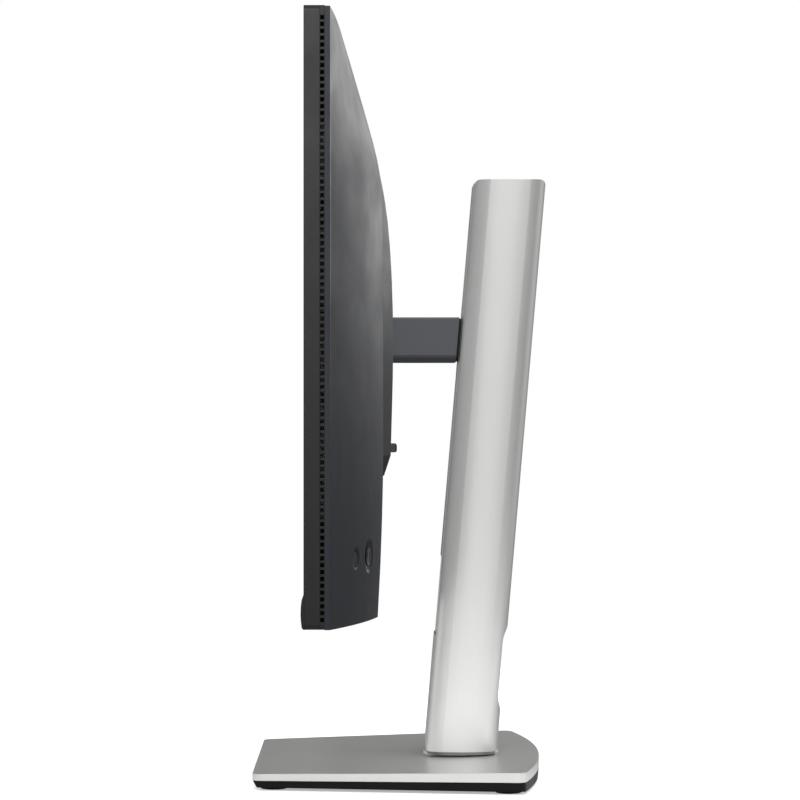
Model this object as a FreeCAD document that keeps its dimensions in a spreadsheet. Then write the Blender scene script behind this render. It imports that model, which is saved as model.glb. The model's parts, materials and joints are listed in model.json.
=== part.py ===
import FreeCAD, Part
import math
import os
import Sketcher
from FreeCAD import Placement, Rotation, Vector

# Height-adjustable office monitor: a thin flat panel on an arm, a leaning column and a weighted base.
#
# Millimetres. The origin is on the desk under the swivel axis. The screen faces -Y, +X is the viewer's
# right when facing the screen, and +Z is up. The panel stands upright at its middle height.

DRIVING = {
    # panel outline and its layers from front to back
    "panel_width": 611.3,
    "panel_height": 356.9,
    "panel_bottom": 116.8,
    "panel_front": 97.0,
    "frame_depth": 9.3,
    "frame_wall": 1.3,
    "rim_width": 1.6,
    "rim_thickness": 0.6,
    "frame_corner": 3.0,
    "band_depth": 2.7,
    "band_recess": 1.2,
    "band_wall": 1.4,
    "band_hole_width": 2.1,
    "band_hole_height": 2.4,
    "band_hole_pitch": 3.91,
    "band_hole_count": 89,
    "band_hole_first": 122.5,
    "chin_height": 20.3,
    "chin_proud": 1.15,
    "chin_bulge": 0.6,
    "chin_slope": 3.4,
    "chin_back": 96.5,
    "glass_thickness": 1.4,
    "guide_thickness": 2.5,
    "pan_thickness": 0.8,
    "pan_back": 90.2,
    "chassis_back": 78.8,
    "chassis_sheet": 1.0,
    # rear cover
    "cover_side": 81.9,
    "cover_rear": 51.6,
    "cover_wall": 2.2,
    "cover_top_drop": 0.7,
    "crease_half": 198.0,
    "top_slope": 0.3,
    "top_knee": 386.0,
    "top_softness": 15.0,
    "low_slope": 0.0165,
    "low_curl": 0.00026,
    "low_knee": 200.0,
    "low_softness": 10.0,
    "side_fullness": 0.45,
    "plateau_rear": 42.68,
    "plateau_half": 84.0,
    "plateau_slant": 24.0,
    "plateau_sink": 7.0,
    "plateau_front": 84.0,
    "plateau_slope": 0.38,
    "plateau_knee": 384.0,
    "plateau_softness": 49.0,
    "plateau_lean": 0.038,
    "plateau_lean_knee": 285.0,
    "plateau_lean_softness": 20.0,
    "plateau_foot": 199.4,
    "plateau_foot_rear": 51.1,
    "plateau_step": 212.5,
    "plateau_top": 458.0,
    "bay_half": 104.0,
    "bay_floor": 128.0,
    "bay_ceiling": 190.0,
    "bay_front": 75.0,
    # stand interface
    "arm_level": 287.6,
    "bolt_spacing": 100.0,
    "bolt_hole_radius": 1.65,
    "nut_radius": 4.5,
    "nut_rear": 47.2,
    "bracket_half": 58.0,
    "bracket_rear": 50.0,
    "bracket_sheet": 1.6,
    "head_half_width": 44.0,
    "head_half_height": 38.0,
    "head_rear": 45.9,
    "well_radius": 34.0,
    "well_wall": 2.0,
    "well_floor_rear": 66.5,
    "well_floor": 3.0,
    "pivot_radius": 9.0,
    "running_gap": 0.05,
    "part_gap": 0.3,
    # arm and tilt hinge
    "tilt_axis": 56.0,
    "tilt_pin_radius": 3.0,
    "arm_half_width": 24.0,
    "arm_top": 302.4,
    "arm_seam": 277.4,
    "arm_bottom": 272.7,
    "arm_front": 50.0,
    "arm_wall": 2.0,
    "arm_chamfer": 3.2,
    "neck_half": 8.0,
    "neck_half_height": 11.0,
    "knuckle_radius": 7.0,
    "gasket_thickness": 1.2,
    "gasket_gap": 0.5,
    # column and the slide inside it
    "lean": 4.91,
    "column_depth": 46.7,
    "column_width": 68.0,
    "column_side_radius": 60.0,
    "column_corner": 13.0,
    "column_wall": 3.0,
    "column_bottom": 16.4,
    "column_top": 393.0,
    "column_cap": 5.0,
    "column_round": 3.6,
    "slot_half": 10.0,
    "slide_centre": 288.0,
    "slide_up": 61.0,
    "slide_down": 89.0,
    "trim_half": 19.0,
    "trim_proud": 0.7,
    "duct_front_low": 90.9,
    "duct_front_high": 142.5,
    "duct_rear_low": 44.1,
    "duct_rear_high": 102.3,
    "duct_front_half": 18.0,
    "duct_rear_half": 27.7,
    "rod_radius": 4.0,
    "rod_offset": 18.0,
    "drum_radius": 14.3,
    "drum_half": 9.0,
    # base
    "base_front": 134.9,
    "base_front_half": 102.0,
    "base_corner_back": 37.5,
    "base_rear_half": 127.0,
    "base_bulge": 14.0,
    "base_corner": 6.0,
    "plate_top_front": 10.4,
    "plate_top_rear": 14.3,
    "plate_under_front": 6.1,
    "plate_under_rear": 7.9,
    "tray_bottom": 1.8,
    "tray_taper": 3.0,
    "tray_wall": 2.0,
    "foot_radius": 9.0,
    "hub_radius": 14.0,
    "collar_inset": 1.2,
    "collar_thickness": 2.0,
    # controls on the side slope of the rear cover
    "power_across": 263.0,
    "stick_across": 235.0,
    "control_level": 155.5,
    "power_dish": 7.0,
    "power_cap": 5.0,
    "stick_dish": 10.3,
    "stick_cap": 5.5,
}

doc = FreeCAD.newDocument("monitor")


def fill_sheet():
    """The spreadsheet of driving dimensions, one named cell each."""
    sheet = doc.addObject("Spreadsheet::Sheet", "dims")
    for row, (name, number) in enumerate(DRIVING.items(), start=1):
        sheet.set(f"A{row}", name)
        sheet.set(f"B{row}", str(number))
        sheet.setAlias(f"B{row}", name)
    doc.recompute()
    return sheet


class Size:
    """A length worked out from the sheet: the formula that FreeCAD binds, and its present value."""

    def __init__(self, text, value):
        self.text = text
        self.value = value

    @staticmethod
    def of(other):
        return other if isinstance(other, Size) else Size(f"({float(other)})", float(other))

    def __add__(self, other):
        other = Size.of(other)
        return Size(f"({self.text} + {other.text})", self.value + other.value)

    def __sub__(self, other):
        other = Size.of(other)
        return Size(f"({self.text} - {other.text})", self.value - other.value)

    def __mul__(self, other):
        other = Size.of(other)
        return Size(f"({self.text} * {other.text})", self.value * other.value)

    def __truediv__(self, other):
        other = Size.of(other)
        return Size(f"({self.text} / {other.text})", self.value / other.value)

    def __radd__(self, other):
        return Size.of(other) + self

    def __rsub__(self, other):
        return Size.of(other) - self

    def __rmul__(self, other):
        return Size.of(other) * self

    def __neg__(self):
        return Size(f"(-1 * {self.text})", -self.value)


class Sheet:
    """Reads a driving dimension as a Size: D.panel_width."""

    def __init__(self, sheet):
        self.sheet = sheet

    def __getattr__(self, name):
        return Size(f"dims.{name}", float(self.sheet.get(name)))


D = Sheet(fill_sheet())


def root(size):
    return Size(f"sqrt({size.text})", math.sqrt(size.value))


def sine(angle):
    return Size(f"sin({angle.text})", math.sin(math.radians(angle.value)))


def cosine(angle):
    return Size(f"cos({angle.text})", math.cos(math.radians(angle.value)))


def tangent(angle):
    return Size(f"tan({angle.text})", math.tan(math.radians(angle.value)))


# ---------------------------------------------------------------- building blocks

UPRIGHT = {"x": (Vector(0, 1, 0), 90), "y": (Vector(1, 0, 0), -90), "z": (Vector(0, 0, 1), 0)}
nodes = []


def bind(obj, prop, size):
    obj.setExpression(prop, Size.of(size).text)


def locate(obj, corner):
    for axis, size in zip("xyz", corner):
        bind(obj, f"Placement.Base.{axis}", size)


def box(name, low, high):
    """A block between two opposite corners."""
    obj = doc.addObject("Part::Box", name)
    for prop, start, end in zip(("Length", "Width", "Height"), low, high):
        bind(obj, prop, Size.of(end) - start)
    locate(obj, low)
    return obj


def rod(name, radius, start, length, axis="z"):
    """A cylinder from start along a positive axis."""
    obj = doc.addObject("Part::Cylinder", name)
    bind(obj, "Radius", radius)
    bind(obj, "Height", length)
    obj.Placement = Placement(Vector(), Rotation(*UPRIGHT[axis]))
    locate(obj, start)
    return obj


def cone(name, radius_low, radius_high, start, length, axis="z"):
    """A frustum from start along a positive axis."""
    obj = doc.addObject("Part::Cone", name)
    bind(obj, "Radius1", radius_low)
    bind(obj, "Radius2", radius_high)
    bind(obj, "Height", length)
    obj.Placement = Placement(Vector(), Rotation(*UPRIGHT[axis]))
    locate(obj, start)
    return obj


def union(name, parts):
    obj = doc.addObject("Part::MultiFuse", name)
    obj.Shapes = parts
    return obj


def cut(name, base, tools):
    obj = doc.addObject("Part::Cut", name)
    obj.Base = base
    obj.Tool = tools[0] if len(tools) == 1 else union(f"{name}_tools", tools)
    return obj


def overlap(name, first, second):
    obj = doc.addObject("Part::Common", name)
    obj.Base = first
    obj.Tool = second
    return obj


def ring(name, outer, inner, start, length, axis="z"):
    return cut(
        name,
        rod(f"{name}_disc", outer, start, length, axis),
        [rod(f"{name}_bore", inner, start, length, axis)],
    )


def rounded(name, base, radius, wanted):
    """The base with the wanted edges rounded."""
    doc.recompute()
    obj = doc.addObject("Part::Fillet", name)
    obj.Base = base
    size = Size.of(radius).value
    obj.Edges = [
        (number, size, size)
        for number, edge in enumerate(base.Shape.Edges, start=1)
        if wanted(edge)
    ]
    return obj


def along(axis):
    """A test for straight edges that run along an axis."""
    direction = {"x": Vector(1, 0, 0), "y": Vector(0, 1, 0), "z": Vector(0, 0, 1)}[axis]

    def test(edge):
        if edge.Curve.TypeId != "Part::GeomLine":
            return False
        return abs(abs(edge.Curve.Direction.dot(direction)) - 1) < 1e-6

    return test


def soft_box(name, low, high, radius, axis):
    """A block with its four edges along one axis rounded."""
    return rounded(name, box(f"{name}_block", low, high), radius, along(axis))


def mirrored(name, source):
    """The same shape on the other side of the X = 0 plane."""
    obj = doc.addObject("Part::Mirroring", name)
    obj.Source = source
    obj.Normal = Vector(1, 0, 0)
    return obj


def both_sides(name, source):
    return union(name, [source, mirrored(f"{name}_other", source)])


def node(obj, name):
    """Name a finished sub-part; its label is the name of its file."""
    obj.Label = name
    nodes.append(obj)
    return obj


# ---------------------------------------------------------------- sketched bodies

NORMAL_SIGN = {"XY_Plane": 1, "XZ_Plane": -1, "YZ_Plane": 1}


def origin_plane(body, role):
    return next(item for item in body.Origin.OriginFeatures if item.Role == role)


def arc_centre(start, end, radius):
    """Centre of an arc that runs anticlockwise from start to end, bulging outwards."""
    chord = end - start
    middle = (start + end) * 0.5
    left = Vector(-chord.y, chord.x, 0).normalize()
    return middle + left * math.sqrt(radius**2 - (chord.Length / 2) ** 2)


def sketch_outline(body, name, plane, level, corners, arcs=None):
    """A closed outline through corners, anticlockwise. arcs maps an edge's number to its radius."""
    arcs = arcs or {}
    sketch = body.newObject("Sketcher::SketchObject", name)
    sketch.AttachmentSupport = [(origin_plane(body, plane), "")]
    sketch.MapMode = "FlatFace"
    bind(sketch, "AttachmentOffset.Base.z", Size.of(level) * NORMAL_SIGN[plane])
    sizes = [(Size.of(across), Size.of(up)) for across, up in corners]
    points = [Vector(across.value, up.value, 0) for across, up in sizes]
    count = len(points)
    for number, start in enumerate(points):
        end = points[(number + 1) % count]
        if number not in arcs:
            sketch.addGeometry(Part.LineSegment(start, end), False)
            continue
        radius = Size.of(arcs[number])
        centre = arc_centre(start, end, radius.value)
        first = math.atan2(start.y - centre.y, start.x - centre.x)
        last = math.atan2(end.y - centre.y, end.x - centre.x)
        circle = Part.Circle(centre, Vector(0, 0, 1), radius.value)
        sketch.addGeometry(Part.ArcOfCircle(circle, first, last), False)
        held = sketch.addConstraint(Sketcher.Constraint("Radius", number, radius.value))
        bind(sketch, f"Constraints[{held}]", radius)
    for number in range(count):
        following = (number + 1) % count
        sketch.addConstraint(Sketcher.Constraint("Coincident", number, 2, following, 1))
    for number, pair in enumerate(sizes):
        for kind, size in zip(("DistanceX", "DistanceY"), pair):
            held = sketch.addConstraint(Sketcher.Constraint(kind, -1, 1, number, 1, size.value))
            bind(sketch, f"Constraints[{held}]", size)
    return sketch


def prism(name, plane, corners, low, high, arcs=None):
    """An outline pushed from low to high along the plane's own world axis."""
    body = doc.addObject("PartDesign::Body", name)
    level = low if NORMAL_SIGN[plane] > 0 else high
    pad = body.newObject("PartDesign::Pad", f"{name}_pad")
    pad.Profile = sketch_outline(body, f"{name}_outline", plane, level, corners, arcs)
    bind(pad, "Length", Size.of(high) - low)
    return body


def loft(name, plane, near, near_corners, far, far_corners):
    """A straight loft between two outlines on parallel planes."""
    body = doc.addObject("PartDesign::Body", name)
    first = sketch_outline(body, f"{name}_near", plane, near, near_corners)
    second = sketch_outline(body, f"{name}_far", plane, far, far_corners)
    between = body.newObject("PartDesign::AdditiveLoft", f"{name}_loft")
    between.Profile = first
    between.Sections = [second]
    between.Ruled = True
    return body


def turned(name, corners):
    """A half profile of (radius, height) points turned about the Z axis."""
    body = doc.addObject("PartDesign::Body", name)
    sketch = sketch_outline(body, f"{name}_profile", "XZ_Plane", 0, corners)
    turn = body.newObject("PartDesign::Revolution", f"{name}_turn")
    turn.Profile = sketch
    turn.ReferenceAxis = (sketch, ["V_Axis"])
    turn.Angle = 360
    return body


def rectangle(half_width, low, high):
    return [(-half_width, low), (half_width, low), (half_width, high), (-half_width, high)]


def round_body(body, radius, wanted):
    """Round the wanted edges of a sketched body."""
    doc.recompute()
    last = body.Tip
    fillet = body.newObject("PartDesign::Fillet", f"{body.Name}_round")
    names = [f"Edge{number}" for number, e in enumerate(last.Shape.Edges, start=1) if wanted(e)]
    fillet.Base = (last, names)
    bind(fillet, "Radius", radius)
    return body


# ---------------------------------------------------------------- base


def base_outline(name, low, high, inset):
    """The base's plan: narrower in front, flared behind, with a bowed rear edge."""
    front = D.base_front - inset
    back = D.base_corner_back - inset * 0.5
    front_half = D.base_front_half - inset
    rear_half = D.base_rear_half - inset
    bulge = D.base_bulge
    corners = [(-front_half, -front), (front_half, -front), (rear_half, back), (-rear_half, back)]
    arc_radius = (rear_half * rear_half + bulge * bulge) / (bulge * 2)
    body = prism(name, "XY_Plane", corners, low, high, {2: arc_radius})
    return round_body(body, D.base_corner - inset * 0.5, along("z"))


def base_wedge(name, low_front, low_rear, high_front, high_rear):
    """A side profile wider than the base, between two sloping surfaces."""
    rear = D.base_corner_back + D.base_bulge
    side = [
        (-D.base_front, low_front),
        (rear, low_rear),
        (rear, high_rear),
        (-D.base_front, high_front),
    ]
    return prism(name, "YZ_Plane", side, -D.base_rear_half * 1.1, D.base_rear_half * 1.1)


TRAY_SCREWS = ((-76, -108), (76, -108), (-94, 16), (94, 16), (0, -62))
SCREW_SHANK = 1.5
SCREW_HEAD = 3.4
HUB_LOW = 8.3
WASHER_LOW = 12.2


def make_base_plate():
    blank = base_outline("plate_plan", 0, 30, 0)
    wedge = base_wedge(
        "plate_side", D.plate_under_front, D.plate_under_rear, D.plate_top_front, D.plate_top_rear
    )
    holes = [
        rod("plate_hub_hole", D.hub_radius + D.running_gap, (0, 0, 0), 30),
        rod("plate_washer_seat", 25.2, (0, 0, WASHER_LOW), 10),
    ]
    for number, (across, back) in enumerate(TRAY_SCREWS):
        holes.append(rod(f"plate_tap_{number}", SCREW_SHANK, (across, back, 0), 9.0))
    plate = cut("plate", overlap("plate_blank", blank, wedge), holes)
    node(plate, "base_plate")


def make_base_tray():
    """The black underside: tapered sides, hollow, with seats for feet and screws."""
    taper = D.tray_taper
    blank = base_outline("tray_plan", 0, 30, 0.3)
    wedge = base_wedge("tray_side", D.tray_bottom, D.tray_bottom, D.plate_under_front, D.plate_under_rear)
    front = D.base_front
    rear = D.base_corner_back + D.base_bulge
    taper_y = prism(
        "tray_taper_y",
        "YZ_Plane",
        [(-front + taper, D.tray_bottom), (rear - taper, D.tray_bottom), (rear, 9), (-front, 6.1)],
        -140,
        140,
    )
    low_half = D.base_rear_half - taper
    high_half = D.base_rear_half
    profile = [(-low_half, D.tray_bottom), (low_half, D.tray_bottom), (high_half, 7.8), (-high_half, 7.8)]
    taper_x = prism("tray_taper_x", "XZ_Plane", profile, -200, 200)
    solid = overlap("tray_solid", overlap("tray_a", blank, wedge), overlap("tray_b", taper_y, taper_x))
    hollow = base_outline("tray_hollow", D.tray_bottom + 1.6, 30, taper + D.tray_wall)
    bosses = [
        rod(f"tray_boss_{number}", 5.0, (across, back, D.tray_bottom), 3.5)
        for number, (across, back) in enumerate(TRAY_SCREWS)
    ]
    shell = union("tray_shell", [cut("tray_open", solid, [hollow])] + bosses)
    tools = [rod("tray_access", 20.0, (0, 0, 0), 10)]
    for number, (across, back) in enumerate(TRAY_SCREWS):
        tools.append(rod(f"tray_shank_{number}", SCREW_SHANK + 0.1, (across, back, 0), 10))
        tools.append(rod(f"tray_head_{number}", SCREW_HEAD + 0.1, (across, back, 0), 3.2))
    for number, (across, back) in enumerate(foot_places()):
        tools.append(rod(f"tray_foot_{number}", D.foot_radius + 0.1, (across, back, 0), 2.4))
    node(cut("tray", shell, tools), "base_tray")


def foot_places():
    front = -D.base_front + 13.5
    rear = D.base_corner_back - 10
    front_half = D.base_front_half - 11.5
    rear_half = D.base_rear_half - 15
    return [(front_half, front), (-front_half, front), (rear_half, rear), (-rear_half, rear)]


def make_base_feet():
    feet = []
    for number, (across, back) in enumerate(foot_places()):
        foot = turned(
            f"foot_{number}",
            [(0, 0), (D.foot_radius - 1.2, 0), (D.foot_radius - 0.3, 0.6), (D.foot_radius, 1.4),
             (D.foot_radius, 2.4), (0, 2.4)],
        )
        locate(foot, (across, back, 0))
        feet.append(foot)
    node(union("feet", feet), "base_feet")


def make_tray_screws():
    screws = []
    for number, (across, back) in enumerate(TRAY_SCREWS):
        head = rod(f"screw_head_{number}", SCREW_HEAD, (across, back, 1.9), 1.3)
        shank = rod(f"screw_shank_{number}", SCREW_SHANK, (across, back, 1.9), 6.9)
        slot = box(f"screw_slot_{number}", (across - 2, back - 0.4, 1.9), (across + 2, back + 0.4, 2.5))
        screws.append(cut(f"screw_{number}", union(f"screw_blank_{number}", [head, shank]), [slot]))
    node(union("screws", screws), "tray_screws")


def make_swivel_washer():
    washer = ring("washer", 25.0, D.hub_radius + 0.2, (0, 0, WASHER_LOW), 14.35 - WASHER_LOW)
    node(washer, "swivel_washer")


SCREW_AXIS_RADIUS = 3.0
SCREW_DISC_LOW = 3.6
RING_LEVEL = 2.5
RING_HINGE = 7.0


def make_stand_screw():
    """The captive screw that pulls a lock disc against the underside of the plate."""
    shaft = rod("thumb_shaft", SCREW_AXIS_RADIUS, (0, 0, SCREW_DISC_LOW), 24 - SCREW_DISC_LOW)
    head = rod("thumb_head", 9.5, (0, 0, SCREW_DISC_LOW), 1.8)
    ears = []
    for side in (-1, 1):
        low, high = sorted((side * 4.3, side * 6.0))
        near = (low, RING_HINGE - 1.2, RING_LEVEL - 1)
        ears.append(box(f"thumb_ear_{high}", near, (high, RING_HINGE + 1.2, SCREW_DISC_LOW + 0.4)))
    hole = rod("thumb_ear_hole", 0.8, (-7, RING_HINGE, RING_LEVEL), 14, "x")
    node(cut("thumbscrew", union("thumb_blank", [shaft, head] + ears), [hole]), "stand_screw")


def make_screw_ring():
    loop = ring("loop", 7.5, 5.6, (0, -0.5, RING_LEVEL - 0.7), 1.4)
    bar = rod("loop_bar", 0.72, (-5.9, RING_HINGE, RING_LEVEL), 11.8, "x")
    gap_left = box("loop_gap_left", (-6.3, RING_HINGE - 2.0, 0), (-4.0, RING_HINGE + 2, 5))
    gap_right = box("loop_gap_right", (4.0, RING_HINGE - 2.0, 0), (6.3, RING_HINGE + 2, 5))
    trimmed = cut("loop_trimmed", loop, [gap_left, gap_right])
    node(union("loop_with_bar", [trimmed, bar]), "screw_ring")


# ---------------------------------------------------------------- column


def grouped(obj):
    """The part as a group of its own, so that it can be moved as it stands."""
    group = doc.addObject("Part::Compound", f"{obj.Name}_moved")
    group.Links = [obj]
    return group


def lean_back(obj):
    """The upright part, tipped back with the column."""
    leaned = grouped(obj)
    leaned.Placement = Placement(Vector(), Rotation(Vector(1, 0, 0), -D.lean.value))
    bind(leaned, "Placement.Rotation.Angle", -D.lean)
    bind(leaned, "Placement.Base.y", -(D.column_bottom * tangent(D.lean)))
    return leaned


def column_prism(name, inset):
    """The column's rounded section, inset on every side, as a tall upright solid."""
    depth = D.column_depth / 2 - inset
    crown = D.column_side_radius - inset
    centre = D.column_width / 2 - D.column_side_radius
    corner = centre + root(crown * crown - depth * depth)
    corners = [(-corner, -depth), (corner, -depth), (corner, depth), (-corner, depth)]
    body = prism(name, "XY_Plane", corners, 0, D.column_top + 30, {1: crown, 3: crown})
    return round_body(body, D.column_corner - inset, along("z"))


def slab(name, low, high):
    """Everything between two levels."""
    return box(name, (-200, -200, low), (200, 200, high))


def face_at(level, proud):
    """Y of the leaned column's front face, or with a minus sign of proud its rear face, at a level."""
    return proud / cosine(D.lean) + (level - D.column_bottom) * tangent(D.lean)


def column_profile(name, low, proud):
    """The column's side view from a level up: everything below a flat top with two round corners."""
    top = D.column_top
    turn = D.column_round
    front = -(D.column_depth / 2 + proud)
    rear = D.column_depth / 2
    corners = [
        (face_at(low, front) - 1, low),
        (face_at(low, rear) + 1, low),
        (face_at(top - turn, rear) + 0.05, top - turn),
        (face_at(top, rear) - turn, top),
        (face_at(top, front) + turn, top),
        (face_at(top - turn, front) - 0.05, top - turn),
    ]
    return prism(name, "YZ_Plane", corners, -100, 100, {2: turn, 4: turn})


SLOT_LOW_ROOM = 18
SLOT_HIGH_ROOM = 15


def slider_slot(name, depth_low, depth_high):
    low = D.slide_centre - D.slide_down - SLOT_LOW_ROOM
    high = D.slide_centre + D.slide_up + SLOT_HIGH_ROOM
    return soft_box(
        name, (-D.slot_half, depth_low, low), (D.slot_half, depth_high, high), D.slot_half - 1, "y"
    )


def make_column_shell():
    face = D.column_depth / 2
    front_hole = soft_box(
        "shell_front_hole",
        (-D.duct_front_half, -face - 5, D.duct_front_low),
        (D.duct_front_half, -face + 8, D.duct_front_high),
        5,
        "y",
    )
    rear_hole = soft_box(
        "shell_rear_hole",
        (-D.duct_rear_half, face - 8, D.duct_rear_low),
        (D.duct_rear_half, face + 5, D.duct_rear_high),
        12,
        "y",
    )
    slot = slider_slot("shell_slot", -face - 5, -face + 8)
    tube = cut(
        "shell_tube",
        column_prism("shell_outer", 0),
        [column_prism("shell_inner", D.column_wall), front_hole, rear_hole, slot],
    )
    side_view = column_profile("shell_side_view", D.column_bottom, 0)
    node(overlap("shell", lean_back(tube), side_view), "column_shell")


def make_column_cap():
    """The lid that fills the shell's open top, level with its rim."""
    side_view = column_profile("cap_side_view", D.column_top - D.column_cap, 0)
    lid = lean_back(column_prism("cap_blank", D.column_wall))
    node(overlap("cap", lid, side_view), "column_cap")


def make_column_foot():
    """The swivel hub: a plug in the column's foot, a collar, and a boss through the base plate."""
    collar_low = D.column_bottom - D.collar_thickness
    plug = overlap(
        "foot_plug",
        lean_back(column_prism("foot_core", D.column_wall)),
        slab("foot_band", D.column_bottom, D.column_bottom + 16),
    )
    collar = overlap(
        "foot_collar",
        lean_back(column_prism("foot_outer", D.collar_inset)),
        slab("collar_band", collar_low, D.column_bottom),
    )
    boss = rod("foot_boss", D.hub_radius, (0, 0, HUB_LOW), collar_low - HUB_LOW)
    tap = rod("foot_tap", SCREW_AXIS_RADIUS + D.running_gap, (0, 0, 0), 26)
    node(cut("foot", union("foot_blank", [plug, collar, boss]), [tap]), "column_foot")


def make_lock_disc():
    """The disc under the base plate that keeps the hub from lifting out."""
    low = SCREW_DISC_LOW + 1.9
    disc = ring("disc", 19.0, SCREW_AXIS_RADIUS + D.running_gap, (0, 0, low), 7.2 - low)
    spacer = ring("disc_spacer", 10.0, SCREW_AXIS_RADIUS + D.running_gap, (0, 0, 7.2), HUB_LOW - 7.2)
    node(union("disc_with_spacer", [disc, spacer]), "lock_disc")


def make_trims():
    """Two plastic strips on the column's front face: one guides the arm, one covers the foot."""
    face = D.column_depth / 2
    low = D.duct_front_high
    proud = D.trim_proud
    upper = box(
        "trim_upper_blank",
        (-D.trim_half, -face - proud, low),
        (D.trim_half, -face, D.column_top + D.column_cap),
    )
    upper = cut("trim_upper", upper, [slider_slot("trim_slot", -face - 5, -face + 5)])
    side_view = column_profile("trim_side_view", D.column_bottom, proud)
    node(overlap("trim", lean_back(upper), side_view), "slider_trim")
    lower = box(
        "trim_lower",
        (-D.trim_half, -face - D.trim_proud, D.column_bottom + 3),
        (D.trim_half, -face, D.duct_front_low),
    )
    node(lean_back(lower), "lower_trim")


def duct_loft(name, inset):
    """The sloping cable passage, from the high front opening down to the rear one."""
    reach = D.column_depth / 2 - D.column_wall - D.part_gap * 2
    front = rectangle(D.duct_front_half - inset, D.duct_front_low + inset, D.duct_front_high - inset)
    rear_half = D.duct_rear_half - 6 - inset
    rear = rectangle(rear_half, D.duct_rear_low + inset, D.duct_rear_high - inset)
    return loft(name, "XZ_Plane", -reach, front, reach, rear)


def make_cable_duct():
    wall = 1.6
    duct = cut("duct", duct_loft("duct_outer", D.part_gap), [duct_loft("duct_inner", D.part_gap + wall)])
    node(lean_back(duct), "cable_duct")


ROD_LOW = 146
ROD_HIGH = 380
BRACKET_THICKNESS = 5


def make_guide_rods():
    length = ROD_HIGH - ROD_LOW
    right = rod("rod_right", D.rod_radius, (D.rod_offset, 0, ROD_LOW), length)
    left = rod("rod_left", D.rod_radius, (-D.rod_offset, 0, ROD_LOW), length)
    node(lean_back(union("rods", [right, left])), "guide_rods")


def make_rod_brackets():
    levels = (ROD_LOW, ROD_HIGH - BRACKET_THICKNESS)
    plates = [
        box(f"bracket_band_{level}", (-60, -60, level), (60, 60, level + BRACKET_THICKNESS))
        for level in levels
    ]
    filled = overlap("bracket_plates", column_prism("bracket_core", D.column_wall), union("bands", plates))
    holes = [
        rod(f"bracket_hole_{side}", D.rod_radius, (D.rod_offset * side, 0, 0), 400)
        for side in (-1, 1)
    ]
    node(lean_back(cut("brackets", filled, holes)), "rod_brackets")


# ---------------------------------------------------------------- slide inside the column

CARRIAGE_HALF = 26
CARRIAGE_FRONT = -16
CARRIAGE_REAR = 15
BUSH_WALL = 2.0
BUSH_LENGTH = 9
DRUM_DROP = 19
DRUM_BACK = 4


def make_carriage():
    """The block that rides on the two rods, hollowed at the back for the spring drum."""
    centre = D.slide_centre
    low = centre - 37
    high = centre + 24
    near = (-CARRIAGE_HALF, CARRIAGE_FRONT, low)
    block = soft_box("carriage_block", near, (CARRIAGE_HALF, CARRIAGE_REAR, high), 3, "z")
    tools = [box("carriage_pocket", (-10, -11.5, low - 1), (10, CARRIAGE_REAR + 1, centre - 2))]
    for side in (-1, 1):
        across = D.rod_offset * side
        tools.append(rod(f"carriage_bore_{side}", D.rod_radius + 0.5, (across, 0, low - 1), 80))
        seat = D.rod_radius + BUSH_WALL
        tools.append(rod(f"carriage_seat_low_{side}", seat, (across, 0, low), BUSH_LENGTH))
        start = (across, 0, high - BUSH_LENGTH)
        tools.append(rod(f"carriage_seat_high_{side}", seat, start, BUSH_LENGTH))
    body = cut("carriage_body", block, tools)
    axle = rod("carriage_axle", 3.0, (-12, DRUM_BACK, centre - DRUM_DROP), 24, "x")
    node(lean_back(union("carriage_with_axle", [body, axle])), "carriage")


def make_glide_bushes():
    centre = D.slide_centre
    bushes = []
    for side in (-1, 1):
        for level in (centre - 37, centre + 24 - BUSH_LENGTH):
            name = f"bush_{len(bushes)}"
            across = D.rod_offset * side
            bore = D.rod_radius + D.running_gap
            bushes.append(ring(name, D.rod_radius + BUSH_WALL, bore, (across, 0, level), BUSH_LENGTH))
    node(lean_back(union("bushes", bushes)), "glide_bushes")


def make_spring_drum():
    """The drum that takes up the counterbalance strip as the carriage travels."""
    level = D.slide_centre - DRUM_DROP
    half = D.drum_half
    hub = rod("drum_hub", 7.0, (-half, DRUM_BACK, level), half * 2, "x")
    flanges = [
        rod("drum_flange_left", D.drum_radius, (-half, DRUM_BACK, level), 1, "x"),
        rod("drum_flange_right", D.drum_radius, (half - 1, DRUM_BACK, level), 1, "x"),
    ]
    bore = rod("drum_bore", 3.0 + D.running_gap, (-half - 1, DRUM_BACK, level), half * 2 + 2, "x")
    drum = cut("drum", union("drum_blank", [hub] + flanges), [bore])
    node(lean_back(drum), "spring_drum")
    start = (-half + 1.2, DRUM_BACK, level)
    coil = ring("coil", D.drum_radius - 1, 7.0, start, half * 2 - 2.4, "x")
    node(lean_back(coil), "spring_coil")


# ---------------------------------------------------------------- arm and tilt head


def behind_arm(name, gap):
    """Everything behind a plane parallel to the column's front face, at a gap in front of it."""
    front = -D.column_depth / 2 - D.trim_proud - gap
    return lean_back(box(name, (-100, front, 0), (100, front + 200, 450)))


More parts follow.
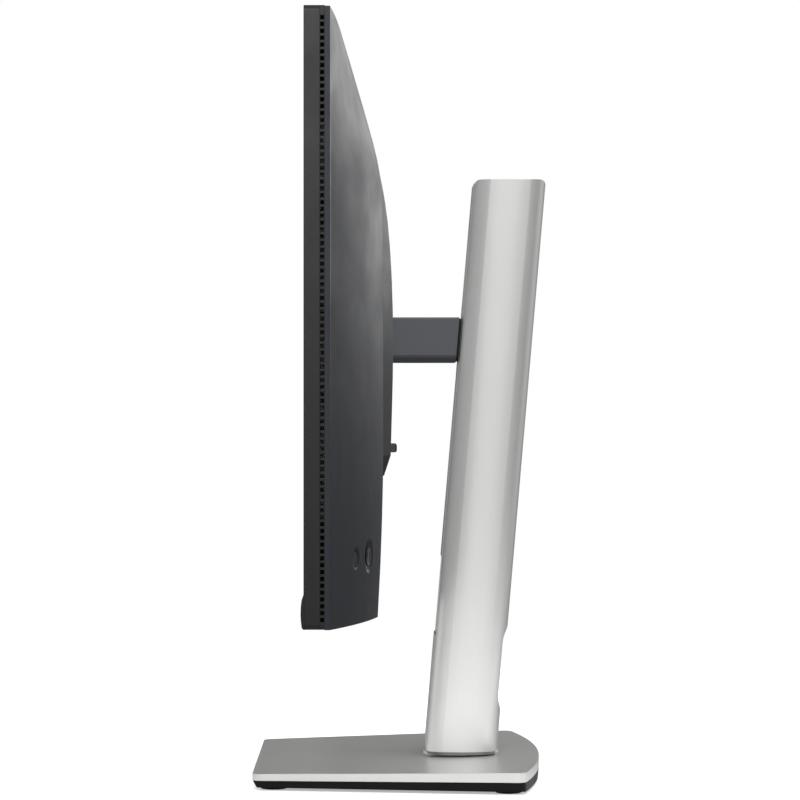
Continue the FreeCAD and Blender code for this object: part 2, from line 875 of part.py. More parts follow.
def make_arm_core():
    """The beam that joins the carriage to the tilt hinge through the column's slot."""
    level = D.arm_level
    centre = D.slide_centre
    flange = lean_back(
        box("core_flange", (-18, CARRIAGE_FRONT - 3.5, centre - 18), (18, CARRIAGE_FRONT, centre + 18))
    )
    beam_blank = box(
        "core_beam",
        (-D.neck_half, -48, level - D.neck_half_height),
        (D.neck_half, 30, level + D.neck_half_height),
    )
    beyond = lean_back(box("core_beyond", (-100, CARRIAGE_FRONT, 0), (100, 200, 450)))
    beam = cut("core_beam_short", beam_blank, [beyond])
    nose = box(
        "core_nose",
        (-D.neck_half, -D.tilt_axis, level - D.knuckle_radius),
        (D.neck_half, -48, level + D.knuckle_radius),
    )
    start = (-D.neck_half, -D.tilt_axis, level)
    knuckle = rod("core_knuckle", D.knuckle_radius, start, D.neck_half * 2, "x")
    hole = rod("core_pin_hole", D.tilt_pin_radius, (-20, -D.tilt_axis, level), 40, "x")
    node(cut("core", union("core_blank", [flange, beam, nose, knuckle]), [hole]), "arm_core")


def arm_section(half, low, high, shave_low, shave_high):
    return [
        (-half + shave_low, low),
        (half - shave_low, low),
        (half, low + shave_low),
        (half, high - shave_high),
        (half - shave_high, high),
        (-half + shave_high, high),
        (-half, high - shave_high),
        (-half, low + shave_low),
    ]


def make_arm_cover():
    """The two-piece plastic sleeve over the beam: a deep upper shell and a chamfered under tray."""
    half = D.arm_half_width
    wall = D.arm_wall
    reach = D.gasket_gap + D.gasket_thickness
    upper_section = [
        (-half, D.arm_seam),
        (half, D.arm_seam),
        (half, D.arm_top - 1.2),
        (half - 1.2, D.arm_top),
        (-half + 1.2, D.arm_top),
        (-half, D.arm_top - 1.2),
    ]
    upper = prism("cover_upper_blank", "XZ_Plane", upper_section, -D.arm_front, 30)
    inside = box("cover_upper_inside", (-half + wall, -60, 0), (half - wall, 40, D.arm_top - wall))
    node(cut("cover_upper", upper, [inside, behind_arm("upper_end", reach)]), "arm_cover")
    chamfer = D.arm_chamfer
    lower_section = [
        (-half + chamfer, D.arm_bottom),
        (half - chamfer, D.arm_bottom),
        (half, D.arm_bottom + chamfer),
        (half, D.arm_seam),
        (-half, D.arm_seam),
        (-half, D.arm_bottom + chamfer),
    ]
    lower = prism("cover_lower_blank", "XZ_Plane", lower_section, -D.arm_front, 30)
    inside_half = half - chamfer - 1
    floor = D.arm_bottom + wall
    hollow = box("cover_lower_inside", (-inside_half, -60, floor), (inside_half, 40, D.arm_top))
    node(cut("cover_lower", lower, [hollow, behind_arm("lower_end", reach)]), "arm_underside")


def make_arm_gasket():
    """The thin black wiper between the arm's end and the column's trim."""
    half = D.arm_half_width - 0.8
    block = prism(
        "gasket_blank",
        "XZ_Plane",
        arm_section(half, D.arm_bottom + 0.8, D.arm_top - 0.8, 2.5, 1.0),
        -60,
        40,
    )
    front = D.gasket_gap + D.gasket_thickness
    hole = box(
        "gasket_hole",
        (-D.neck_half - 0.2, -60, D.arm_level - D.neck_half_height - 0.2),
        (D.neck_half + 0.2, 60, D.arm_level + D.neck_half_height + 0.2),
    )
    kept = overlap("gasket_kept", block, behind_arm("gasket_front", front))
    node(cut("gasket", kept, [hole, behind_arm("gasket_back", D.gasket_gap)]), "arm_gasket")


EAR_GAP = 1.0
EAR_THICKNESS = 4.0
YOKE_RADIUS = 22.0
YOKE_THICKNESS = 2.4


def make_tilt_pin():
    reach = D.neck_half + EAR_GAP + EAR_THICKNESS
    pin = rod("pin_shaft", D.tilt_pin_radius, (-reach, -D.tilt_axis, D.arm_level), reach * 2, "x")
    heads = [
        rod("pin_head_left", 5.0, (-reach - 2, -D.tilt_axis, D.arm_level), 2, "x"),
        rod("pin_head_right", 5.0, (reach, -D.tilt_axis, D.arm_level), 2, "x"),
    ]
    node(union("pin", [pin] + heads), "tilt_pin")


def make_tilt_springs():
    """Friction washers between the yoke's ears and the beam."""
    start = (D.neck_half, -D.tilt_axis, D.arm_level)
    right = ring("spring_right", 6.4, D.tilt_pin_radius, start, EAR_GAP - 0.1, "x")
    node(both_sides("tilt_washers_pair", right), "friction_washers")


def make_tilt_yoke():
    """The bracket that tilts on the pin and carries the pivot shaft."""
    rear = D.well_floor_rear - 0.5
    inner = D.neck_half + EAR_GAP
    disc = rod("yoke_disc", YOKE_RADIUS, (0, -rear, D.arm_level), YOKE_THICKNESS, "y")
    ears = []
    for side in (-1, 1):
        low, high = sorted((side * inner.value, side * (inner.value + EAR_THICKNESS)))
        web = box(
            f"yoke_web_{high}",
            (low, -rear + 0.1, D.arm_level - 6.5),
            (high, -D.tilt_axis, D.arm_level + 6.5),
        )
        eye = rod(f"yoke_eye_{high}", 6.5, (low, -D.tilt_axis, D.arm_level), EAR_THICKNESS, "x")
        ears += [web, eye]
    hole = rod("yoke_hole", D.tilt_pin_radius + D.running_gap, (-30, -D.tilt_axis, D.arm_level), 60, "x")
    node(cut("yoke", union("yoke_blank", [disc] + ears), [hole]), "tilt_yoke")


NUT_FRONT = 74.3
WASHER_THICKNESS = 0.8


def make_pivot_parts():
    """The pivot shaft, its two slip washers and the nut that holds the head plate on it."""
    rear = D.well_floor_rear - 0.5
    shaft_length = NUT_FRONT - rear
    shaft = rod("shaft", D.pivot_radius, (0, -NUT_FRONT, D.arm_level), shaft_length, "y")
    bore = rod("shaft_bore", 4.0, (0, -NUT_FRONT - 1, D.arm_level), 20, "y")
    node(cut("shaft_bored", shaft, [bore]), "pivot_shaft")
    floor_front = D.well_floor_rear + D.well_floor
    slip_bore = D.pivot_radius + 0.1
    start = (0, -floor_front - WASHER_THICKNESS, D.arm_level)
    front = ring("slip_front", 15.0, slip_bore, start, WASHER_THICKNESS - 0.05, "y")
    back = ring("slip_back", 20.0, slip_bore, (0, -D.well_floor_rear + 0.05, D.arm_level), 0.4, "y")
    node(union("slips", [front, back]), "pivot_washers")
    nut_length = NUT_FRONT - floor_front - WASHER_THICKNESS - 0.1
    nut = ring("nut", 13.0, D.pivot_radius, (0, -NUT_FRONT, D.arm_level), nut_length, "y")
    flats = box("nut_flats", (-11.5, -100, D.arm_level - 20), (11.5, 0, D.arm_level + 20))
    node(overlap("nut_shaped", nut, flats), "pivot_nut")


# ---------------------------------------------------------------- head plate and bracket


def make_head_plate():
    """The plate at the back of the panel, with a round well that the arm's end sits in."""
    level = D.arm_level
    plate = soft_box(
        "head_blank",
        (-D.head_half_width, -D.bracket_rear, level - D.head_half_height),
        (D.head_half_width, -D.head_rear, level + D.head_half_height),
        8,
        "y",
    )
    floor_front = D.well_floor_rear + D.well_floor
    outer = D.well_radius + D.well_wall
    cup = rod("head_cup", outer, (0, -floor_front, level), floor_front - D.bracket_rear, "y")
    well = rod("head_well", D.well_radius, (0, -D.well_floor_rear, level), 60, "y")
    lip = cone("head_lip", D.well_radius, D.well_radius + 2, (0, -D.head_rear - 2 + 0.001, level), 2, "y")
    bore = rod("head_bore", D.pivot_radius + D.running_gap, (0, -100, level), 60, "y")
    node(cut("head", union("head_solid", [plate, cup]), [well, lip, bore]), "head_plate")


def bolt_places():
    half = D.bolt_spacing / 2
    return [(half * a, D.arm_level + half * b) for a in (-1, 1) for b in (-1, 1)]


def make_vesa_bracket():
    """The pressed steel bracket between the chassis and the stand, with the four bolt nuts."""
    half = D.bracket_half
    level = D.arm_level
    sheet = D.bracket_sheet
    block = box(
        "bracket_block",
        (-half, -D.chassis_back, level - half),
        (half, -D.bracket_rear, level + half),
    )
    room = box(
        "bracket_room",
        (-half + sheet, -D.chassis_back - 1, level - half - 1),
        (half - sheet, -D.bracket_rear - sheet, level + half + 1),
    )
    tools = [room, rod("bracket_eye", D.well_radius + D.well_wall + 0.5, (0, -100, level), 80, "y")]
    for number, (across, up) in enumerate(bolt_places()):
        tools.append(rod(f"bracket_nut_seat_{number}", D.nut_radius, (across, -60, up), 30, "y"))
    latch_way = box("bracket_latch_way", (-11, -60, 0), (11, 0, level - D.head_half_height + 2))
    node(cut("bracket", block, tools + [latch_way]), "vesa_bracket")


def make_vesa_nuts():
    nuts = []
    for number, (across, up) in enumerate(bolt_places()):
        sleeve = rod(f"nut_sleeve_{number}", D.nut_radius, (across, -60, up), 60 - D.nut_rear, "y")
        thread = rod(f"nut_thread_{number}", D.bolt_hole_radius, (across, -58, up), 30, "y")
        nuts.append(cut(f"nut_{number}", sleeve, [thread]))
    node(union("nuts", nuts), "vesa_nuts")


LATCH_FRONT = 55.0
LATCH_REAR = 51.7
LATCH_LOW = 223.5
BUTTON_LOW = 213.0
BUTTON_HIGH = 218.8
BUTTON_HALF = 9.0
BUTTON_PROUD = 4.2
BUTTON_ROUND = 1.5
FLANGE_DEPTH = 3.0


def make_release():
    """The push button under the head plate and the latch slide that it moves."""
    around = -plateau_rear(BUTTON_LOW)
    rear = around - BUTTON_PROUD
    flange_rear = around + FLANGE_DEPTH
    near = (-BUTTON_HALF, -flange_rear, BUTTON_LOW)
    cap = box("release_cap_block", near, (BUTTON_HALF, -rear, BUTTON_HIGH))
    cap = rounded("release_cap_round", cap, BUTTON_ROUND, lambda edge: edge.BoundBox.YMin > -rear - 0.01)
    flange = box(
        "release_flange",
        (-BUTTON_HALF - 1.5, -flange_rear - 1.2, BUTTON_LOW - 1.2),
        (BUTTON_HALF + 1.5, -flange_rear, BUTTON_HIGH + 1.2),
    )
    node(union("release", [cap, flange]), "release_button")
    plate_edge = D.arm_level - D.head_half_height
    slide = box("latch_slide", (-10, -LATCH_FRONT, LATCH_LOW), (10, -LATCH_REAR, plate_edge - 4))
    near = (-7, -LATCH_REAR, plate_edge - 9)
    tongue = box("latch_tongue", near, (7, -D.bracket_rear + 1.6, plate_edge - 4))
    node(union("latch", [slide, tongue]), "release_latch")


# ---------------------------------------------------------------- rear cover


def ramp(distance, softness):
    """Rises from nothing to the distance itself, over a soft knee."""
    return (distance + math.hypot(distance, softness)) / 2


def shell_rear(level):
    """Y of the cover's broad rear face at a level."""
    top_drop = D.top_slope.value * ramp(level - D.top_knee.value, D.top_softness.value)
    below = ramp(D.low_knee.value - level, D.low_softness.value)
    low_drop = below * (D.low_slope.value + D.low_curl.value * below)
    return -D.cover_rear.value - top_drop - low_drop


def plateau_rear(level):
    """Y of the raised centre's rear face at a level."""
    above = ramp(level - D.plateau_knee.value, D.plateau_softness.value)
    below = ramp(D.plateau_lean_knee.value - level, D.plateau_lean_softness.value)
    drop = D.plateau_slope.value * above + D.plateau_lean.value * below
    return -D.plateau_rear.value - drop


def side_share(across):
    """How much of the rear face's depth is left between the crease and the side edge."""
    edge = D.panel_width.value / 2
    way = (edge - abs(across)) / (edge - D.crease_half.value)
    fullness = D.side_fullness.value
    return way * (1 + fullness - fullness * way)


def cover_rear(across, level):
    """Y of the cover's outer surface anywhere."""
    if abs(across) <= D.crease_half.value:
        return shell_rear(level)
    side = -D.cover_side.value
    return side + (shell_rear(level) - side) * side_share(across)


def cover_section(across, inset, front, low, high):
    """The cover's outline in one upright plane: straight front, bottom and top, curved rear."""
    steps = 12
    levels = [low + (high - low) * step / steps for step in range(steps + 1)]
    rear = [Vector(across, cover_rear(across, level) - inset, level) for level in levels]
    curve = Part.BSplineCurve()
    curve.interpolate(rear)
    bottom_front = Vector(across, front, low)
    top_front = Vector(across, front, high)
    edges = [
        Part.makeLine(bottom_front, rear[0]),
        curve.toShape(),
        Part.makeLine(rear[-1], top_front),
        Part.makeLine(top_front, bottom_front),
    ]
    return Part.Wire(edges)


def cover_solid(inset):
    """The cover's closed outer form, shrunk by the inset on every side but the front."""
    crease = D.crease_half.value
    edge = D.panel_width.value / 2 - inset
    front = -(D.panel_front.value - D.frame_depth.value - D.band_depth.value)
    if inset:
        front -= 1
    low = D.panel_bottom.value + inset
    high = D.panel_bottom.value + D.panel_height.value - D.cover_top_drop.value - inset
    flat = Part.Face(cover_section(-crease, inset, front, low, high))
    middle = flat.extrude(Vector(2 * crease, 0, 0))
    stations = 5
    reach = [crease + (edge - crease) * step / (stations - 1) for step in range(stations)]
    right = Part.makeLoft([cover_section(x, inset, front, low, high) for x in reach], True)
    left = right.mirror(Vector(), Vector(1, 0, 0))
    return middle.fuse([right, left]).removeSplitter()


def plateau_solid(inset):
    """The raised centre: a curved rear with slanted sides and a slanted step below."""
    low = D.plateau_foot.value + inset
    high = D.plateau_top.value
    step = D.plateau_step.value
    steps = 14
    levels = [step + (high - step) * number / steps for number in range(steps + 1)]
    front = -D.plateau_front.value

    def section(across, sink):
        rear = [Vector(across, plateau_rear(level) - sink, level) for level in levels]
        curve = Part.BSplineCurve()
        curve.interpolate(rear)
        foot = Vector(across, -D.plateau_foot_rear.value - sink, low)
        bottom_front = Vector(across, front, low)
        top_front = Vector(across, front, high)
        edges = [
            Part.makeLine(bottom_front, foot),
            Part.makeLine(foot, rear[0]),
            curve.toShape(),
            Part.makeLine(rear[-1], top_front),
            Part.makeLine(top_front, bottom_front),
        ]
        return Part.Wire(edges)

    half = D.plateau_half.value - inset
    outer = half + D.plateau_slant.value
    middle = Part.Face(section(-half, inset)).extrude(Vector(2 * half, 0, 0))
    slope_wires = [section(half, inset), section(outer, inset + D.plateau_sink.value)]
    right = Part.makeLoft(slope_wires, True, True)
    left = right.mirror(Vector(), Vector(1, 0, 0))
    return middle.fuse([right, left]).removeSplitter()


def bay_prism(name, grow):
    """The connector bay: a recess under the plateau whose floor slopes out to the rear."""
    profile = [
        (-D.bay_front - grow, D.bay_ceiling + grow),
        (-D.bay_front - grow, D.bay_floor + 24),
        (-D.bay_front + 22 - grow * 0.4, D.bay_floor - grow),
        (0, D.bay_floor - grow),
        (0, D.bay_ceiling + grow),
    ]
    return prism(name, "YZ_Plane", profile, -D.bay_half - grow, D.bay_half + grow)


def control_frame(across):
    """Placement of a control: its +Z points straight out of the cover's side slope."""
    level = D.control_level.value
    step = 0.5
    rise = cover_rear(across + step, level) - cover_rear(across - step, level)
    outward = Vector(-rise / (2 * step), 1, 0).normalize()
    sideways = Vector(outward.y, -outward.x, 0)
    turn = Rotation(sideways, Vector(0, 0, 1), outward, "ZXY")
    return Placement(Vector(across, cover_rear(across, level), level), turn)


def put(obj, frame):
    """Move a part that was made about the origin onto a control's frame."""
    group = grouped(obj)
    group.Placement = frame
    return group


def dish(name, radius, depth):
    """A ball whose lowest part leaves a round dish of that rim radius and depth below level 0."""
    ball = doc.addObject("Part::Sphere", name)
    radius = Size.of(radius)
    ball_radius = (radius * radius + depth * depth) / (2 * depth)
    bind(ball, "Radius", ball_radius)
    bind(ball, "Placement.Base.z", ball_radius - depth)
    return ball


POWER_DISH_DEPTH = 1.7
STICK_DISH_DEPTH = 3.6
STICK_BOSS_DEPTH = 7
STICK_PIVOT = -5.2
POWER = control_frame(D.power_across.value)
STICK = control_frame(D.stick_across.value)

# connectors in the bay's ceiling: name, centre across, width, depth
PORTS = (("video_a", -78, 15.0, 5.6), ("video_b", -52, 16.0, 5.6), ("video_c", -18, 31.0, 9.0),
         ("hub_up", 14, 12.0, 11.0), ("hub_a", 34, 7.5, 14.0), ("hub_b", 50, 7.5, 14.0))
PORT_CENTRE = -64.0
INLET_ACROSS = 76
INLET_WIDTH = 27.0
INLET_DEPTH = 19.5
INLET_CENTRE = -64.9


def ceiling_holes():
    """The openings that the connectors need in the bay's ceiling."""
    places = [(across, PORT_CENTRE, width, depth) for _, across, width, depth in PORTS]
    places.append((INLET_ACROSS, INLET_CENTRE, INLET_WIDTH, INLET_DEPTH))
    holes = []
    for number, (across, centre, width, depth) in enumerate(places):
        low = (across - width / 2 - 0.3, centre - depth / 2 - 0.3, D.bay_ceiling - 1)
        high = (across + width / 2 + 0.3, centre + depth / 2 + 0.3, D.bay_ceiling + 4)
        holes.append(box(f"ceiling_hole_{number}", low, high))
    return holes


def shaped(name, shape):
    obj = doc.addObject("Part::Feature", name)
    obj.Shape = shape
    return obj


def stand_openings():
    """The openings in the plateau for the head plate, the four bolts and the release button."""
    level = D.arm_level
    gap = D.part_gap
    low = (-D.head_half_width - gap, -60, level - D.head_half_height - gap)
    high = (D.head_half_width + gap, 0, level + D.head_half_height + gap)
    openings = [soft_box("cover_head_opening", low, high, 8.3, "y")]
    for number, (across, up) in enumerate(bolt_places()):
        openings.append(rod(f"cover_bolt_{number}", D.nut_radius + gap, (across, -60, up), 60, "y"))
    low = (-BUTTON_HALF - 0.15, -56, BUTTON_LOW - 0.15)
    high = (BUTTON_HALF + 0.15, 0, BUTTON_HIGH + 0.15)
    openings.append(box("cover_release_hole", low, high))
    return openings


def make_rear_cover():
    wall = D.cover_wall.value
    forms = [shaped("cover_form", cover_solid(0)), shaped("plateau_form", plateau_solid(0))]
    cores = [shaped("cover_core", cover_solid(wall)), shaped("plateau_core", plateau_solid(wall))]
    boss = rod("cover_stick_boss", D.stick_dish + 1.5, (0, 0, -STICK_BOSS_DEPTH), 12)
    kept = [bay_prism("bay_walls", D.cover_wall), put(boss, STICK)]
    hollow = cut("cover_hollow", union("cover_room", cores), kept)
    tools = [hollow, bay_prism("bay_room", 0)] + stand_openings() + ceiling_holes()
    shell = cut("cover_shell", union("cover_outer", forms), tools)
    power_hole = rod("cover_power_hole", D.power_cap + 0.15, (0, 0, -8), 12)
    power_tool = union("cover_power", [dish("power_dish_ball", D.power_dish, POWER_DISH_DEPTH), power_hole])
    with_power = cut("cover_with_power", shell, [put(power_tool, POWER)])
    stick_tool = union(
        "cover_stick",
        [
            dish("stick_dish_ball", D.stick_dish, STICK_DISH_DEPTH),
            rod("cover_stick_hole", 3.6, (0, 0, -9), 12),
            rod("cover_stick_room", 4.9, (0, 0, -9), 4.8),
        ],
    )
    node(cut("cover", with_power, [put(stick_tool, STICK)]), "rear_cover")


# ---------------------------------------------------------------- controls

POWER_RISE = -0.9


def make_power_button():
    radius = D.power_cap
    button = turned(
        "power_turned",
        [
            (0, -6.5),
            (2.0, -6.5),
            (2.0, -4.4),
            (radius + 1, -4.4),
            (radius + 1, -3.4),
            (radius, -3.4),
            (radius, POWER_RISE - 0.5),
            (radius - 0.6, POWER_RISE),
            (0, POWER_RISE - 0.3),
        ],
    )
    node(put(button, POWER), "power_button")


def make_stick_plunger():
    """The disc that presses the stick's switch, with two posts that carry the gimbal."""
    disc = turned(
        "plunger_turned",
        [(0, -9.5), (5.5, -9.5), (5.5, -8.7), (4.6, -8.7), (4.6, -7.8), (0, -7.8)],
    )
    posts = []
    for side in (-1, 1):
        low, high = sorted((side * 3.4, side * 4.4))
        posts.append(box(f"plunger_post_{high}", (-1.1, low, -8), (1.1, high, -4.5)))
    eyes = rod("plunger_eyes", 0.45, (0, -6, STICK_PIVOT), 12, "y")
    node(put(cut("plunger", union("plunger_blank", [disc] + posts), [eyes]), STICK), "stick_plunger")


def make_stick_gimbal():
    """A ring with two trunnions along one axis and two eyes along the other."""
    hoop = turned("gimbal_turned", [(2.35, -5.8), (3.2, -5.8), (3.2, -4.6), (2.35, -4.6)])
    trunnions = []
    for start in (-4.3, 3.0):
        trunnions.append(rod(f"gimbal_trunnion_{len(trunnions)}", 0.4, (0, start, STICK_PIVOT), 1.3, "y"))
    eyes = rod("gimbal_eyes", 0.45, (-4, 0, STICK_PIVOT), 8, "x")
    node(put(cut("gimbal", union("gimbal_blank", [hoop] + trunnions), [eyes]), STICK), "stick_gimbal")


def make_stick_cap():
    """The cap and its short lever, pinned through the gimbal."""
    cap = D.stick_cap
    lever = turned(
        "lever_turned",
        [
            (0, -7.3),
            (1.0, -7.3),
            (1.8, -6.0),
            (1.8, -1.8),
            (cap - 0.9, -1.6),
            (cap, -1.1),
            (cap, -0.2),
            (cap - 1.0, 0.4),
            (2.4, 0.0),
            (0, -0.1),
        ],
    )
    pin = rod("lever_pin", 0.4, (-3.1, 0, STICK_PIVOT), 6.2, "x")
    node(put(union("lever", [lever, pin]), STICK), "stick_cap")


def make_control_board():
    """A small board behind the two controls, parallel to the slope between them, on two legs."""
    middle = control_frame((D.power_across.value + D.stick_across.value) / 2)
    reach = (D.power_across - D.stick_across) / 2 + 1
    parts = [
        box("control_pcb", (-24, -9, -13.1), (24, 9, -11.5)),
        box("control_switch_power", (reach - 3, -3, -11.5), (reach + 3, 3, -8.6)),
        box("control_switch_stick", (-reach - 5, -5, -11.5), (-reach + 5, 5, -10.4)),
    ]
    board = put(union("control_parts", parts), middle)
    legs = [
        rod(f"control_leg_{number}", 2.2, (across, -D.pan_back, D.control_level), D.pan_back - end, "y")
        for number, (across, end) in enumerate(((230.0, 73.4), (266.0, 81.2)))
    ]
    node(union("control_assembly", [board] + legs), "control_board")


# ---------------------------------------------------------------- display module


def panel_top():
    return D.panel_bottom + D.panel_height


def frame_block(name, inset, front, rear, corner=None):
    """A block with the panel's outline, inset on every side, between two depths."""
    half = D.panel_width / 2 - inset
    low = (-half, -front, D.panel_bottom + inset)
    high = (half, -rear, panel_top() - inset)
    if corner is None:
        return box(name, low, high)
    return soft_box(name, low, high, corner, "y")


def make_front_frame():
    """The rim around the glass, open in front and behind."""
    front = D.panel_front
    rear = front - D.frame_depth
    rim = D.rim_width
    outer = frame_block("frame_outer", 0, front, rear, D.frame_corner)
    room = frame_block("frame_room", D.frame_wall, front - D.rim_thickness, rear - 1, ROOM_CORNER)
    view = box(
        "frame_view",
        (-D.panel_width / 2 + rim, -front - 1, D.panel_bottom + D.chin_height - 1.0),
        (D.panel_width / 2 - rim, -rear + 1, panel_top() - rim),
    )
    chin_top = D.panel_bottom + D.chin_height
    chin_seat = box("frame_chin_seat", (-400, -front - 5, 0), (400, -D.chin_back, chin_top))
    node(cut("frame", outer, [room, view, chin_seat]), "front_frame")


def make_bottom_bezel():
    """The chin: a strip across the bottom whose face stands proud and swells forward."""
    back = D.chin_back
    low = D.panel_bottom + 0.1
    top = D.panel_bottom + D.chin_height
    half = D.panel_width / 2
    face = D.panel_front + D.chin_proud
    face_low = low + 1.1
    face_high = top - D.chin_slope
    rise = face_high - face_low
    radius = (rise * rise / 4 + D.chin_bulge * D.chin_bulge) / (D.chin_bulge * 2)
    profile = [
        (-face + 0.1, face_low),
        (-D.panel_front, low),
        (-back, low),
        (-back, top),
        (-D.panel_front, top),
        (-face, face_high),
    ]
    node(prism("chin", "YZ_Plane", profile, -half, half, {5: radius}), "bottom_bezel")


def make_vent_band():
    """The band behind the frame, sunk at both sides, with a row of square vent holes down each."""
    front = D.panel_front - D.frame_depth
    rear = front - D.band_depth
    inset = D.band_recess
    wall = inset + D.band_wall
    half = D.panel_width / 2
    body = doc.addObject("PartDesign::Body", "band")

    side = half - inset
    low, high = D.panel_bottom, panel_top()
    turn = D.frame_corner - inset
    outer = [
        (-side + turn, low),
        (side - turn, low),
        (side, low + turn),
        (side, high - turn),
        (side - turn, high),
        (-side + turn, high),
        (-side, high - turn),
        (-side, low + turn),
    ]
    rounds = {number: turn for number in (1, 3, 5, 7)}
    pad = body.newObject("PartDesign::Pad", "band_pad")
    pad.Profile = sketch_outline(body, "band_outer", "XZ_Plane", -rear, outer, rounds)
    bind(pad, "Length", D.band_depth)
    pocket = body.newObject("PartDesign::Pocket", "band_opening")
    inner = rectangle(half - wall, low + wall, high - wall)
    pocket.Profile = sketch_outline(body, "band_inner", "XZ_Plane", -rear, inner)
    pocket.Type = 1
    pocket.Midplane = True
    centre = -(front + rear) / 2
    reach = D.band_hole_width / 2
    low = D.band_hole_first - D.band_hole_height / 2
    high = low + D.band_hole_height
    hole = [(centre - reach, low), (centre + reach, low), (centre + reach, high), (centre - reach, high)]
    vents = body.newObject("PartDesign::Pocket", "band_vent")
    vents.Profile = sketch_outline(body, "band_vent_outline", "YZ_Plane", 0, hole)
    vents.Type = 1
    vents.Midplane = True
    row = body.newObject("PartDesign::LinearPattern", "band_vents")
    row.Originals = [vents]
    row.Direction = (origin_axis(body, "Z_Axis"), [""])
    bind(row, "Length", D.band_hole_pitch * (D.band_hole_count - 1))
    bind(row, "Occurrences", D.band_hole_count)
    body.Tip = row
    node(body, "vent_band")


LAMP_SPACES = 36
ROOM_CORNER = 1.5


def origin_axis(body, role):
    return next(item for item in body.Origin.OriginFeatures if item.Role == role)


def layer(name, inset, front, thickness, low_extra=3.0, corner=None):
    """One flat sheet of the display stack, with square corners unless a corner radius is given."""
    half = D.panel_width / 2 - inset
    low = (-half, -front, D.panel_bottom + inset + low_extra)
    high = (half, -front + thickness, panel_top() - inset)
    if corner is None:
        return box(name, low, high)
    return soft_box(name, low, high, corner, "y")


def make_light_bar(guide_front):
    """The strip of small lamps under the light guide."""
    half = D.panel_width / 2 - 10
    low = D.panel_bottom + 8.2
    parts = [box("bar_strip", (-half, -guide_front, low), (half, -guide_front + 2.4, low + 1.0))]
    pitch = (half * 2 - 13) / LAMP_SPACES
    for number in range(LAMP_SPACES + 1):
        start = -half + 4 + pitch * number
        near = (start, -guide_front + 0.4, low + 1.0)
        parts.append(box(f"bar_lamp_{number}", near, (start + 5, -guide_front + 2.0, low + 2.0)))
    node(union("bar", parts), "led_bar")


def make_display_stack():
    """Glass, films, light guide, reflector, light bar and the steel pan that holds them."""
    front = D.panel_front - D.rim_thickness
    glass = layer("glass", D.frame_wall + 0.15, front, D.glass_thickness, 3.0, ROOM_CORNER)
    node(glass, "lcd_glass")
    films_front = front - D.glass_thickness - 0.1
    sheets = [layer(f"film_{n}", 4.0, films_front - 0.3 * n, 0.25, 4.0) for n in range(3)]
    node(union("films", sheets), "optical_films")
    guide_front = films_front - 1.0
    node(layer("guide", 4.5, guide_front, D.guide_thickness, 8.0), "light_guide")
    reflector_front = guide_front - D.guide_thickness - 0.05
    node(layer("reflector", 4.5, reflector_front, 0.25, 8.0), "reflector_sheet")
    make_light_bar(guide_front)
    pan_front = films_front - 0.6
    depth = pan_front - D.pan_back
    inset = D.frame_wall + 1.0
    outer = layer("pan_outer", inset, pan_front, depth, 1.0)
    room = layer("pan_room", inset + D.pan_thickness, pan_front + 1, depth + 1 - D.pan_thickness, 1.0)
    node(cut("pan", outer, [room]), "module_pan")


def make_chassis():
    """The shallow steel tray behind the module that carries the boards and the bracket."""
    sheet = D.chassis_sheet
    half = 190
    low = 176
    high = 420
    block = box("chassis_block", (-half, -D.pan_back, low), (half, -D.chassis_back, high))
    room = box(
        "chassis_room",
        (-half + sheet, -D.pan_back - 1, low + sheet),
        (half - sheet, -D.chassis_back - sheet, high - sheet),
    )
    windows = []
    for side in (-1, 1):
        near = (side * 120 - 40, -100, 330)
        windows.append(soft_box(f"chassis_window_{side}", near, (side * 120 + 40, -60, 400), 6, "y"))
    node(cut("chassis", block, [room] + windows), "main_chassis")
    screws = []
    for across in (-180, -70, 70, 180):
        for up in (182, 414):
            name = f"chassis_screw_{len(screws)}"
            screws.append(rod(name, 2.8, (across, -D.chassis_back, up), 1.6, "y"))
    node(union("chassis_screw_set", screws), "chassis_screws")


BOARD_GAP = 3.0
BOARD_THICKNESS = 1.6


def board_levels():
    """Depth of a circuit board's front and rear face, counted back from the panel's front."""
    front = D.chassis_back - BOARD_GAP
    return front, front - BOARD_THICKNESS


def make_main_board():
    front, rear = board_levels()
    low = D.bay_ceiling + 4
    parts = [box("main_pcb", (-108, -front, low), (62, -rear, 226))]
    chips = ((-60, 212, 12, 12, 1.6), (-20, 212, 8, 10, 1.2), (30, 212, 7, 7, 1.0), (-92, 216, 9, 4, 4.0))
    for number, (across, up, wide, tall, thick) in enumerate(chips):
        near = (across - wide, -rear, up - tall / 2)
        parts.append(box(f"chip_{number}", near, (across + wide, -rear + thick, up + tall / 2)))
    legs = [
        rod(f"main_leg_{n}", 2.5, (across, -D.chassis_back, 220), BOARD_GAP, "y")
        for n, across in enumerate((-104, 0, 58))
    ]
    node(union("main_assembly", parts + legs), "main_board")


